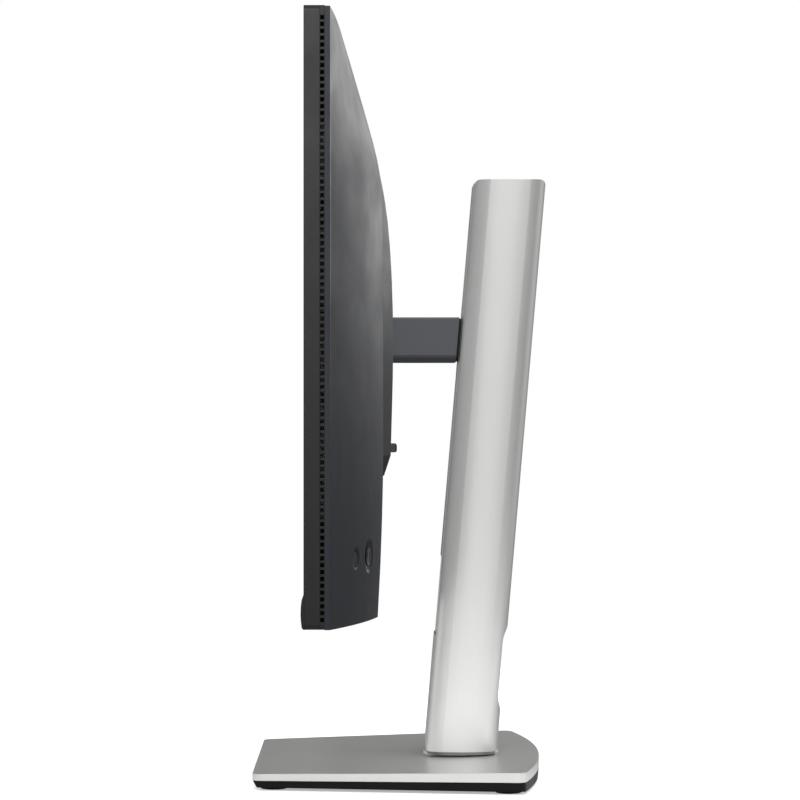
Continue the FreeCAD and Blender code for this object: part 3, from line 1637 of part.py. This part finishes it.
def make_ports():
    """Connector shells that hang from the main board into the bay's ceiling, mouths down."""
    _, rear = board_levels()
    shells = []
    for name, across, width, depth in PORTS:
        low = (across - width / 2, PORT_CENTRE - depth / 2, D.bay_ceiling + 0.3)
        high = (across + width / 2, PORT_CENTRE + depth / 2, D.bay_ceiling + 13)
        shell = box(f"port_{name}_shell", low, high)
        mouth = box(
            f"port_{name}_mouth",
            (across - width / 2 + 0.6, PORT_CENTRE - depth / 2 + 0.6, D.bay_ceiling),
            (across + width / 2 - 0.6, PORT_CENTRE + depth / 2 - 0.6, D.bay_ceiling + 9),
        )
        tongue = box(
            f"port_{name}_tongue",
            (across - width / 2 + 2, PORT_CENTRE - 0.8, D.bay_ceiling + 2),
            (across + width / 2 - 2, PORT_CENTRE + 0.8, D.bay_ceiling + 9.5),
        )
        base = box(
            f"port_{name}_base",
            (across - width / 2, -rear, D.bay_ceiling + 9.5),
            (across + width / 2, PORT_CENTRE - depth / 2 + 0.2, D.bay_ceiling + 13),
        )
        shells.append(union(f"port_{name}", [cut(f"port_{name}_open", shell, [mouth]), tongue, base]))
    node(union("ports", shells), "port_block")


def make_power_board():
    front, rear = board_levels()
    parts = [box("power_pcb", (68, -front, D.bay_ceiling + 22), (184, -rear, 300))]
    parts.append(box("transformer", (100, -rear, 250), (132, -rear + 17, 280)))
    parts.append(box("heat_sink", (142, -rear, 240), (146, -rear + 15, 290)))
    for number, (across, up) in enumerate(((160, 226), (160, 246), (118, 228))):
        parts.append(rod(f"capacitor_{number}", 7.5, (across, -rear, up), 16, "y"))
    for number, (across, up) in enumerate(((72, 296), (180, 296), (180, 216))):
        parts.append(rod(f"power_leg_{number}", 2.5, (across, -D.chassis_back, up), BOARD_GAP, "y"))
    node(union("power_assembly", parts), "power_board")


def make_power_inlet():
    """The mains inlet beside the connectors, with its three pins."""
    low = (INLET_ACROSS - INLET_WIDTH / 2, INLET_CENTRE - INLET_DEPTH / 2, D.bay_ceiling + 0.3)
    high = (INLET_ACROSS + INLET_WIDTH / 2, INLET_CENTRE + INLET_DEPTH / 2, D.bay_ceiling + 20)
    shell = soft_box("inlet_shell", low, high, 2, "z")
    mouth = soft_box(
        "inlet_mouth",
        (low[0] + 1.5, low[1] + 1.5, D.bay_ceiling),
        (high[0] - 1.5, high[1] - 1.5, D.bay_ceiling + 16),
        1.5,
        "z",
    )
    pins = [
        box(
            f"inlet_pin_{n}",
            (INLET_ACROSS + across - 1, INLET_CENTRE + back - 2, D.bay_ceiling + 4),
            (INLET_ACROSS + across + 1, INLET_CENTRE + back + 2, D.bay_ceiling + 17),
        )
        for n, (across, back) in enumerate(((-7, -1.5), (0, 2), (7, -1.5)))
    ]
    node(union("inlet", [cut("inlet_open", shell, [mouth])] + pins), "power_inlet")


# ---------------------------------------------------------------- build and write


def check_and_write():
    doc.recompute()
    broken = [obj.Name for obj in doc.Objects if {"Invalid", "Error"} & set(obj.State)]
    if broken:
        raise RuntimeError(f"these objects failed: {broken}")
    for obj in nodes:
        if obj.Shape.isNull() or not obj.Shape.isValid() or not obj.Shape.Solids:
            raise RuntimeError(f"{obj.Label} has no valid solid")
    os.makedirs("parts", exist_ok=True)
    for obj in nodes:
        obj.Shape.exportStep(f"parts/{obj.Label}.step")
    print(len(nodes), "sub-parts written")


def build():
    make_base_plate()
    make_base_tray()
    make_base_feet()
    make_tray_screws()
    make_swivel_washer()
    make_stand_screw()
    make_screw_ring()
    make_column_shell()
    make_column_cap()
    make_column_foot()
    make_lock_disc()
    make_trims()
    make_cable_duct()
    make_guide_rods()
    make_rod_brackets()
    make_carriage()
    make_glide_bushes()
    make_spring_drum()
    make_arm_core()
    make_arm_cover()
    make_arm_gasket()
    make_tilt_pin()
    make_tilt_springs()
    make_tilt_yoke()
    make_pivot_parts()
    make_head_plate()
    make_vesa_bracket()
    make_vesa_nuts()
    make_release()
    make_rear_cover()
    make_power_button()
    make_stick_plunger()
    make_stick_gimbal()
    make_stick_cap()
    make_control_board()
    make_front_frame()
    make_bottom_bezel()
    make_vent_band()
    make_display_stack()
    make_chassis()
    make_main_board()
    make_ports()
    make_power_board()
    make_power_inlet()
    check_and_write()


build()
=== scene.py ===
import json
import math

import bpy
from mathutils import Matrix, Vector

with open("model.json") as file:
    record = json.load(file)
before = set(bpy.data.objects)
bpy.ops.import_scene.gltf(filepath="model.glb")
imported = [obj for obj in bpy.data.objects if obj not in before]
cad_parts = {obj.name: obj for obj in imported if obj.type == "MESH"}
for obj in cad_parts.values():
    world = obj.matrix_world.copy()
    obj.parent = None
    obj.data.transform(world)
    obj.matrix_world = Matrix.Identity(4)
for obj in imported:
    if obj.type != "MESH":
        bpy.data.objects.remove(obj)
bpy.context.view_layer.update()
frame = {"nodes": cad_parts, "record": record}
parts = frame["nodes"]
slot_of = {item["node"]: item["material_slot"] for item in frame["record"]["subparts"]}
members = frame["record"]["behaviour"]["bodies"]

MM = 0.001
WHITE = (1.0, 1.0, 1.0, 1.0)
CEILING_WHITE = (0.95, 0.95, 0.95, 1.0)


# ---------------------------------------------------------------- node helpers


class Nodes:
    """A node tree with short ways to add nodes and join them."""

    def __init__(self, tree):
        self.tree = tree
        tree.nodes.clear()

    def add(self, kind, inputs=None, **settings):
        made = self.tree.nodes.new(kind)
        for name, value in settings.items():
            setattr(made, name, value)
        for name, value in (inputs or {}).items():
            self.feed(made.inputs[name], value)
        return made

    def feed(self, socket, value):
        if isinstance(value, bpy.types.NodeSocket):
            self.tree.links.new(value, socket)
        else:
            socket.default_value = value

    def math(self, operation, first, second=0.0, clamp=False):
        made = self.add("ShaderNodeMath", operation=operation, use_clamp=clamp)
        self.feed(made.inputs[0], first)
        self.feed(made.inputs[1], second)
        return made.outputs[0]

    def remap(self, value, low, high, new_low, new_high, smooth=False):
        kind = "SMOOTHSTEP" if smooth else "LINEAR"
        made = self.add("ShaderNodeMapRange", {"Value": value}, interpolation_type=kind)
        made.inputs["From Min"].default_value = low
        made.inputs["From Max"].default_value = high
        made.inputs["To Min"].default_value = new_low
        made.inputs["To Max"].default_value = new_high
        return made.outputs[0]

    def blend(self, share, first, second):
        """Mix of two colours; share 0 gives the first and 1 the second."""
        made = self.add("ShaderNodeMix", data_type="RGBA")
        self.feed(made.inputs[0], share)
        self.feed(made.inputs[6], first)
        self.feed(made.inputs[7], second)
        return made.outputs[2]

    def place(self, stretch=(1, 1, 1)):
        """Object coordinates in metres, stretched before a texture reads them."""
        coordinates = self.add("ShaderNodeTexCoord").outputs["Object"]
        mapping = self.add("ShaderNodeMapping", {"Vector": coordinates})
        mapping.inputs["Scale"].default_value = stretch
        return mapping.outputs[0]

    def noise(self, size, detail=3.0, where=None):
        """Cloudy noise from 0 to 1 whose blobs are about size metres across."""
        where = where or self.place()
        made = self.add("ShaderNodeTexNoise", {"Vector": where, "Scale": 1 / size, "Detail": detail})
        return made.outputs["Fac"]

    def cells(self, size, where=None, feature="F1"):
        where = where or self.place()
        made = self.add("ShaderNodeTexVoronoi", {"Vector": where, "Scale": 1 / size}, feature=feature)
        return made


def rgba(color):
    return (color[0], color[1], color[2], 1.0)


def scaled(color, factor):
    return (color[0] * factor, color[1] * factor, color[2] * factor, 1.0)


def new_material(name):
    material = bpy.data.materials.new(name)
    material.use_nodes = True
    return material, Nodes(material.node_tree)


def edge_wear(tree, rounded):
    """1 along sharp edges, 0 on open faces, broken up by noise."""
    flat = tree.add("ShaderNodeNewGeometry").outputs["Normal"]
    bend = tree.add("ShaderNodeVectorMath", operation="DOT_PRODUCT")
    tree.feed(bend.inputs[0], flat)
    tree.feed(bend.inputs[1], rounded)
    edge = tree.remap(bend.outputs["Value"], 0.995, 0.80, 0.0, 1.0)
    patches = tree.remap(tree.noise(6 * MM, 4), 0.42, 0.62, 0.0, 1.0)
    return tree.math("MULTIPLY", edge, patches, clamp=True)


def finish_surface(tree, color, roughness, height, depth, edge_radius, **principled):
    """Principled shader with softened edges and a bump made from height."""
    edge = tree.add("ShaderNodeBevel", {"Radius": edge_radius}, samples=4)
    bump = tree.add("ShaderNodeBump", {"Strength": 1.0, "Distance": depth, "Height": height})
    tree.feed(bump.inputs["Normal"], edge.outputs[0])
    shader = tree.add("ShaderNodeBsdfPrincipled", principled)
    tree.feed(shader.inputs["Base Color"], color)
    tree.feed(shader.inputs["Roughness"], roughness)
    tree.feed(shader.inputs["Normal"], bump.outputs[0])
    tree.add("ShaderNodeOutputMaterial", {"Surface": shader.outputs[0]})
    return shader


# ---------------------------------------------------------------- materials


def moulded_plastic(name, color, roughness=0.5, grain=0.35 * MM, depth=0.02 * MM, gloss=0.3, wear=0.25):
    """Injection-moulded plastic: a fine spark-eroded grain, faint cloudiness and paler edges."""
    material, tree = new_material(name)
    clouds = tree.noise(60 * MM, 4)
    base = tree.blend(clouds, scaled(color, 0.9), scaled(color, 1.1))
    rounded = tree.add("ShaderNodeBevel", {"Radius": 0.5 * MM}, samples=4).outputs[0]
    worn = tree.math("MULTIPLY", edge_wear(tree, rounded), wear)
    base = tree.blend(worn, base, scaled(color, 2.2))
    grains = tree.noise(grain, 2)
    smudges = tree.noise(35 * MM, 5)
    rough = tree.remap(smudges, 0.3, 0.7, roughness - 0.05, roughness + 0.06)
    finish_surface(tree, base, rough, grains, depth, 0.4 * MM, **{"Specular IOR Level": gloss})
    return material


def satin_metal(name, color, roughness=0.24, stretch=(1, 1, 1), streak=0.02, depth=0.004 * MM, metal=1.0):
    """Painted metal: a faint ripple in the paint and hardly visible drawing marks."""
    material, tree = new_material(name)
    marks = tree.noise(0.6 * MM, 3, tree.place(stretch))
    clouds = tree.noise(80 * MM, 3)
    base = tree.blend(clouds, scaled(color, 0.97), scaled(color, 1.02))
    base = tree.blend(tree.remap(marks, 0.3, 0.7, 0.0, 1.0), base, scaled(color, 1 - streak * 2))
    rough = tree.remap(tree.noise(30 * MM, 4), 0.3, 0.7, roughness - 0.02, roughness + 0.03)
    ripple = tree.noise(6 * MM, 1)
    height = tree.math("ADD", ripple, tree.math("MULTIPLY", marks, 0.1))
    finish_surface(tree, base, rough, height, depth, 0.5 * MM, Metallic=metal)
    return material


def brushed_steel(name, color, roughness=0.32, stretch=(1, 1, 0.03), depth=0.006 * MM):
    """Turned or brushed steel with long fine scratches and a few dull patches."""
    material, tree = new_material(name)
    scratches = tree.noise(0.35 * MM, 4, tree.place(stretch))
    base = tree.blend(tree.noise(18 * MM, 4), scaled(color, 0.86), scaled(color, 1.05))
    rough = tree.remap(scratches, 0.25, 0.75, roughness - 0.08, roughness + 0.1)
    finish_surface(tree, base, rough, scratches, depth, 0.25 * MM, Metallic=1.0)
    return material


def galvanised_sheet(name, color):
    """Zinc-coated sheet: angular spangles that differ a little in tone and shine."""
    material, tree = new_material(name)
    spangle = tree.cells(7 * MM)
    tone = tree.add("ShaderNodeSeparateColor", {"Color": spangle.outputs["Color"]}).outputs[0]
    base = tree.blend(tone, scaled(color, 0.82), scaled(color, 1.08))
    rough = tree.remap(tone, 0.0, 1.0, 0.3, 0.48)
    finish_surface(tree, base, rough, tree.noise(0.8 * MM, 3), 0.004 * MM, 0.3 * MM, Metallic=1.0)
    return material


def cast_metal(name, color):
    """Die-cast zinc or aluminium: a dull, slightly pitted skin."""
    material, tree = new_material(name)
    pits = tree.noise(0.9 * MM, 5)
    base = tree.blend(tree.noise(25 * MM, 4), scaled(color, 0.8), scaled(color, 1.1))
    rough = tree.remap(pits, 0.3, 0.7, 0.42, 0.6)
    finish_surface(tree, base, rough, pits, 0.03 * MM, 0.4 * MM, Metallic=1.0)
    return material


def soft_rubber(name, color):
    """Matte rubber with a powdery bloom."""
    material, tree = new_material(name)
    bloom = tree.remap(tree.noise(12 * MM, 5), 0.4, 0.75, 0.0, 0.4)
    base = tree.blend(bloom, rgba(color), scaled(color, 2.2))
    rough = tree.remap(tree.noise(3 * MM, 3), 0.3, 0.7, 0.7, 0.85)
    powder = tree.noise(0.25 * MM, 3)
    finish_surface(tree, base, rough, powder, 0.02 * MM, 0.5 * MM, **{"Specular IOR Level": 0.25})
    return material


def screen_glass(name, color):
    """The dark face of a switched-off screen under an anti-glare film."""
    material, tree = new_material(name)
    film = tree.noise(0.05 * MM, 1)
    dust = tree.cells(9 * MM).outputs["Distance"]
    specks = tree.remap(dust, 0.0, 0.04, 0.10, 0.0)
    smear = tree.noise(90 * MM, 5, tree.place((1, 1, 0.5)))
    base = tree.blend(specks, scaled(color, 1.0), (0.25, 0.25, 0.25, 1.0))
    rough = tree.remap(smear, 0.35, 0.65, 0.26, 0.34)
    finish_surface(tree, base, rough, film, 0.001 * MM, 0.1 * MM, **{"Specular IOR Level": 0.5, "IOR": 1.5})
    return material


def clear_acrylic(name, color):
    """The light guide: clear acrylic with rows of printed dots."""
    material, tree = new_material(name)
    dots = tree.cells(2.4 * MM).outputs["Distance"]
    printed = tree.remap(dots, 0.25, 0.35, 0.8, 0.0)
    base = tree.blend(printed, rgba(color), WHITE)
    rough = tree.remap(tree.noise(40 * MM, 4), 0.3, 0.7, 0.05, 0.15)
    shader = finish_surface(tree, base, rough, dots, 0.004 * MM, 0.2 * MM, **{"IOR": 1.49})
    tree.feed(shader.inputs["Transmission Weight"], tree.math("SUBTRACT", 0.8, printed, clamp=True))
    return material


def white_film(name, color):
    """Milky diffuser film with a faint prism ribbing."""
    material, tree = new_material(name)
    base = tree.blend(tree.noise(70 * MM, 3), scaled(color, 0.94), rgba(color))
    ribs = tree.noise(0.3 * MM, 1, tree.place((0.02, 1, 1)))
    rough = tree.remap(ribs, 0.3, 0.7, 0.45, 0.6)
    finish_surface(tree, base, rough, ribs, 0.004 * MM, 0.1 * MM, **{"Sheen Weight": 0.1})
    return material


def circuit_board(name, color):
    """Green solder mask with copper tracks under it; anything standing off the board is dark plastic."""
    material, tree = new_material(name)
    tracks = tree.cells(4 * MM, tree.place((1, 0.2, 1)), "DISTANCE_TO_EDGE").outputs["Distance"]
    copper = tree.remap(tracks, 0.03, 0.06, 1.0, 0.0)
    board = tree.blend(copper, rgba(color), scaled(color, 1.7))
    pads = tree.cells(6 * MM).outputs["Distance"]
    board = tree.blend(tree.remap(pads, 0.12, 0.16, 1.0, 0.0), board, (0.55, 0.52, 0.45, 1.0))
    facing = tree.add("ShaderNodeNewGeometry").outputs["Normal"]
    parted = tree.add("ShaderNodeSeparateXYZ", {"Vector": facing})
    upright = tree.math("GREATER_THAN", tree.math("ABSOLUTE", parted.outputs["Y"]), 0.6)
    base = tree.blend(upright, (0.03, 0.03, 0.032, 1.0), board)
    rough = tree.remap(tree.noise(8 * MM, 3), 0.3, 0.7, 0.35, 0.5)
    finish_surface(tree, base, rough, copper, 0.02 * MM, 0.15 * MM)
    return material


def screw_brass(name, color):
    material, tree = new_material(name)
    base = tree.blend(tree.noise(5 * MM, 5), scaled(color, 0.75), rgba(color))
    marks = tree.noise(0.4 * MM, 3, tree.place((1, 0.05, 1)))
    rough = tree.remap(marks, 0.3, 0.7, 0.25, 0.42)
    finish_surface(tree, base, rough, marks, 0.01 * MM, 0.2 * MM, Metallic=1.0)
    return material


ALONG_COLUMN = (1, 1, 0.02)
ACROSS = (0.03, 1, 1)

SLOTS = {
    "silver_metal": lambda n: satin_metal(n, (0.73, 0.73, 0.72), 0.3, ALONG_COLUMN, 0.01, 0.001 * MM, 0.6),
    "silver_plate": lambda n: satin_metal(n, (0.78, 0.78, 0.765), 0.32, ACROSS, 0.01, 0.001 * MM, 0.6),
    "trim_grey": lambda n: moulded_plastic(n, (0.30, 0.30, 0.30), 0.42, 0.3 * MM, 0.008 * MM, 0.5),
    "tray_black": lambda n: moulded_plastic(n, (0.007, 0.007, 0.0075), 0.5, 0.5 * MM, 0.02 * MM, 0.15),
    "foot_rubber": lambda n: soft_rubber(n, (0.012, 0.012, 0.012)),
    "screw_steel": lambda n: brushed_steel(n, (0.56, 0.57, 0.58)),
    "slide_plastic": lambda n: moulded_plastic(n, (0.74, 0.73, 0.68), 0.45, 0.5 * MM, 0.01 * MM, 0.4, 0.0),
    "cast_metal": lambda n: cast_metal(n, (0.42, 0.43, 0.44)),
    "spring_steel": lambda n: brushed_steel(n, (0.45, 0.47, 0.5), 0.22, ACROSS),
    "arm_plastic": lambda n: moulded_plastic(n, (0.074, 0.076, 0.085), 0.5, 0.3 * MM, 0.012 * MM, 0.25),
    "arm_dark": lambda n: moulded_plastic(n, (0.04, 0.041, 0.045), 0.55, 0.3 * MM, 0.012 * MM, 0.25),
    "gasket_rubber": lambda n: soft_rubber(n, (0.01, 0.01, 0.01)),
    "cover_plastic": lambda n: moulded_plastic(n, (0.0105, 0.0115, 0.0145), 0.55, 0.4 * MM, 0.006 * MM, 0.08),
    "frame_plastic": lambda n: moulded_plastic(n, (0.007, 0.007, 0.0072), 0.5, 0.4 * MM, 0.012 * MM, 0.1),
    "bezel_plastic": lambda n: moulded_plastic(n, (0.006, 0.006, 0.0062), 0.5, 0.4 * MM, 0.012 * MM, 0.1),
    "band_plastic": lambda n: moulded_plastic(n, (0.008, 0.008, 0.0085), 0.55, 0.4 * MM, 0.012 * MM, 0.1),
    "head_metal": lambda n: satin_metal(n, (0.03, 0.031, 0.034), 0.42, (1, 1, 1), 0.02, 0.004 * MM, 0.3),
    "screen_glass": lambda n: screen_glass(n, (0.008, 0.008, 0.009)),
    "film_white": lambda n: white_film(n, (0.85, 0.85, 0.85)),
    "guide_acrylic": lambda n: clear_acrylic(n, (0.9, 0.94, 0.96)),
    "sheet_steel": lambda n: galvanised_sheet(n, (0.62, 0.63, 0.64)),
    "board_green": lambda n: circuit_board(n, (0.02, 0.13, 0.06)),
    "connector_metal": lambda n: brushed_steel(n, (0.68, 0.68, 0.69), 0.2, ACROSS),
    "inlet_black": lambda n: moulded_plastic(n, (0.014, 0.014, 0.014), 0.4, 0.5 * MM, 0.01 * MM, 0.4),
    "button_black": lambda n: moulded_plastic(n, (0.016, 0.016, 0.017), 0.35, 0.6 * MM, 0.004 * MM, 0.5),
    "nut_brass": lambda n: screw_brass(n, (0.72, 0.55, 0.27)),
}


def dress_parts():
    made = {}
    for name, part in parts.items():
        slot = slot_of[name]
        if slot not in made:
            made[slot] = SLOTS[slot](slot)
        part.data.materials.clear()
        part.data.materials.append(made[slot])


# ---------------------------------------------------------------- studio


FLOOR_RADIUS = 1.6
FLOOR_GLOW = 0.42


def floor_brightness(tree):
    """Bright floor; duller to scattered light, and to mirrored light on the far side of the object."""
    texture = tree.blend(tree.noise(0.3, 3), (0.88, 0.88, 0.88, 1), (0.92, 0.92, 0.92, 1))
    lit = tree.add("ShaderNodeBsdfDiffuse", {"Color": texture})
    glow = tree.add("ShaderNodeEmission", {"Color": WHITE, "Strength": FLOOR_GLOW})
    bright = tree.add("ShaderNodeAddShader")
    tree.feed(bright.inputs[0], lit.outputs[0])
    tree.feed(bright.inputs[1], glow.outputs[0])
    dull = tree.add("ShaderNodeBsdfDiffuse", {"Color": (0.25, 0.25, 0.25, 1)})
    path = tree.add("ShaderNodeLightPath")
    across = tree.add("ShaderNodeSeparateXYZ", {"Vector": tree.place()}).outputs["X"]
    far_side = tree.remap(across, -0.1, 0.15, 1.0, 0.0)
    mirrored = tree.math("MULTIPLY", path.outputs["Is Glossy Ray"], far_side)
    muted = tree.math("ADD", path.outputs["Is Diffuse Ray"], mirrored, clamp=True)
    seen = tree.add("ShaderNodeMixShader", {0: muted})
    tree.feed(seen.inputs[1], bright.outputs[0])
    tree.feed(seen.inputs[2], dull.outputs[0])
    return seen.outputs[0]


def make_floor():
    """A pale round floor that fades out into the backdrop."""
    bpy.ops.mesh.primitive_circle_add(vertices=96, radius=FLOOR_RADIUS, fill_type="NGON", location=(0, 0, 0))
    floor = bpy.context.object
    floor.name = "floor"
    material, tree = new_material("pale_floor")
    middle = tree.add("ShaderNodeVectorMath", operation="LENGTH")
    tree.feed(middle.inputs[0], tree.place())
    clear = tree.add("ShaderNodeBsdfTransparent")
    fade = tree.remap(middle.outputs["Value"], 0.35, 1.1, 0.0, 1.0, True)
    faded = tree.add("ShaderNodeMixShader", {0: fade})
    tree.feed(faded.inputs[1], floor_brightness(tree))
    tree.feed(faded.inputs[2], clear.outputs[0])
    tree.add("ShaderNodeOutputMaterial", {"Surface": faded.outputs[0]})
    floor.data.materials.append(material)


def grey(tree, level):
    """A colour whose three channels all follow one value."""
    made = tree.add("ShaderNodeCombineColor")
    for name in ("Red", "Green", "Blue"):
        tree.feed(made.inputs[name], level)
    return made.outputs[0]


def mirrored_studio(tree, across, along, up):
    """What shiny surfaces reflect: a card around the camera, paler bands aside and a white ceiling."""
    turn = tree.math("ARCTAN2", tree.math("ABSOLUTE", along), across)
    card = tree.remap(turn, math.radians(16), math.radians(30), 0.80, 0.10, True)
    rising = tree.remap(turn, math.radians(84), math.radians(100), 0.0, 0.4, True)
    falling = tree.remap(turn, math.radians(125), math.radians(145), 0.0, -0.4, True)
    sides = tree.math("ADD", card, tree.math("ADD", rising, falling))
    below = tree.remap(up, -0.35, 0.02, 0.25, 1.0, True)
    walls = grey(tree, tree.math("MULTIPLY", sides, below))
    ceiling = tree.remap(up, 0.55, 0.95, 0.0, 1.0, True)
    return tree.blend(ceiling, walls, CEILING_WHITE)


def make_world():
    """White to the camera; soft studio cards to everything that reflects or scatters."""
    world = bpy.data.worlds.new("studio")
    bpy.context.scene.world = world
    world.use_nodes = True
    tree = Nodes(world.node_tree)
    direction = tree.add("ShaderNodeTexCoord").outputs["Generated"]
    across, along, up = tree.add("ShaderNodeSeparateXYZ", {"Vector": direction}).outputs
    glossy = mirrored_studio(tree, across, along, up)
    scattered = grey(tree, tree.remap(up, -0.3, 0.9, 0.7, 1.25, True))
    path = tree.add("ShaderNodeLightPath")
    light = tree.blend(path.outputs["Is Diffuse Ray"], glossy, scattered)
    seen = tree.blend(path.outputs["Is Camera Ray"], light, WHITE)
    background = tree.add("ShaderNodeBackground", {"Color": seen, "Strength": 1.0})
    tree.add("ShaderNodeOutputWorld", {"Surface": background.outputs[0]})


def soft_box_light(name, place, aim, size, power):
    data = bpy.data.lights.new(name, "AREA")
    data.shape = "RECTANGLE"
    data.size, data.size_y = size
    data.energy = power
    light = bpy.data.objects.new(name, data)
    bpy.context.scene.collection.objects.link(light)
    light.location = place
    light.rotation_mode = "QUATERNION"
    light.rotation_quaternion = (Vector(aim) - Vector(place)).to_track_quat("-Z", "Y")
    light.visible_camera = False
    return light


def only_for(light, nodes):
    """Let a studio light reach some parts alone, unshaded by the rest, as flags would on set."""
    lit = bpy.data.collections.new(f"{light.name}_reaches")
    for node in nodes:
        lit.objects.link(parts[node])
    light.light_linking.receiver_collection = lit
    light.light_linking.blocker_collection = lit


CASING = ["front_frame", "bottom_bezel", "vent_band", "rear_cover", "head_plate", "release_button"]


def make_lights():
    """One light for everything, two cards for the display's casing and a fill for the stand."""
    soft_box_light("overhead", (0.45, 0.12, 1.15), (0.05, -0.02, 0.2), (0.9, 1.1), 4.0)
    front = soft_box_light("front_card", (1.5, -0.12, 0.8), (0.2, -0.06, 0.4), (0.6, 0.4), 30.0)
    rear = soft_box_light("rear_card", (-0.8, 0.55, 0.66), (0.2, -0.06, 0.38), (0.6, 0.6), 8.5)
    only_for(front, CASING)
    only_for(rear, CASING)
    fill = soft_box_light("stand_fill", (1.0, -1.0, 0.35), (0.0, 0.0, 0.22), (0.8, 0.8), 17.0)
    fill.visible_glossy = False
    only_for(fill, members["column"] + members["carriage"] + members["tilt_head"])


CAMERA_PLACE = (2.1, -0.0505, 0.2498)
SENSOR_WIDTH_MM = 36
LENS_MM = 141.6
FRAME_SHIFT = (0.01875, -0.00375)


def make_camera():
    """A long lens, level, looking across the screen from the object's side."""
    data = bpy.data.cameras.new("camera")
    camera = bpy.data.objects.new("camera", data)
    bpy.context.scene.collection.objects.link(camera)
    camera.location = CAMERA_PLACE
    camera.rotation_mode = "QUATERNION"
    camera.rotation_quaternion = Vector((-1, 0, 0)).to_track_quat("-Z", "Y")
    data.sensor_width = SENSOR_WIDTH_MM
    data.lens = LENS_MM
    data.shift_x, data.shift_y = FRAME_SHIFT
    bpy.context.scene.camera = camera


def main():
    dress_parts()
    make_floor()
    make_world()
    make_lights()
    make_camera()
    view = bpy.context.scene.view_settings
    view.view_transform = "Standard"
    view.look = "None"


main()
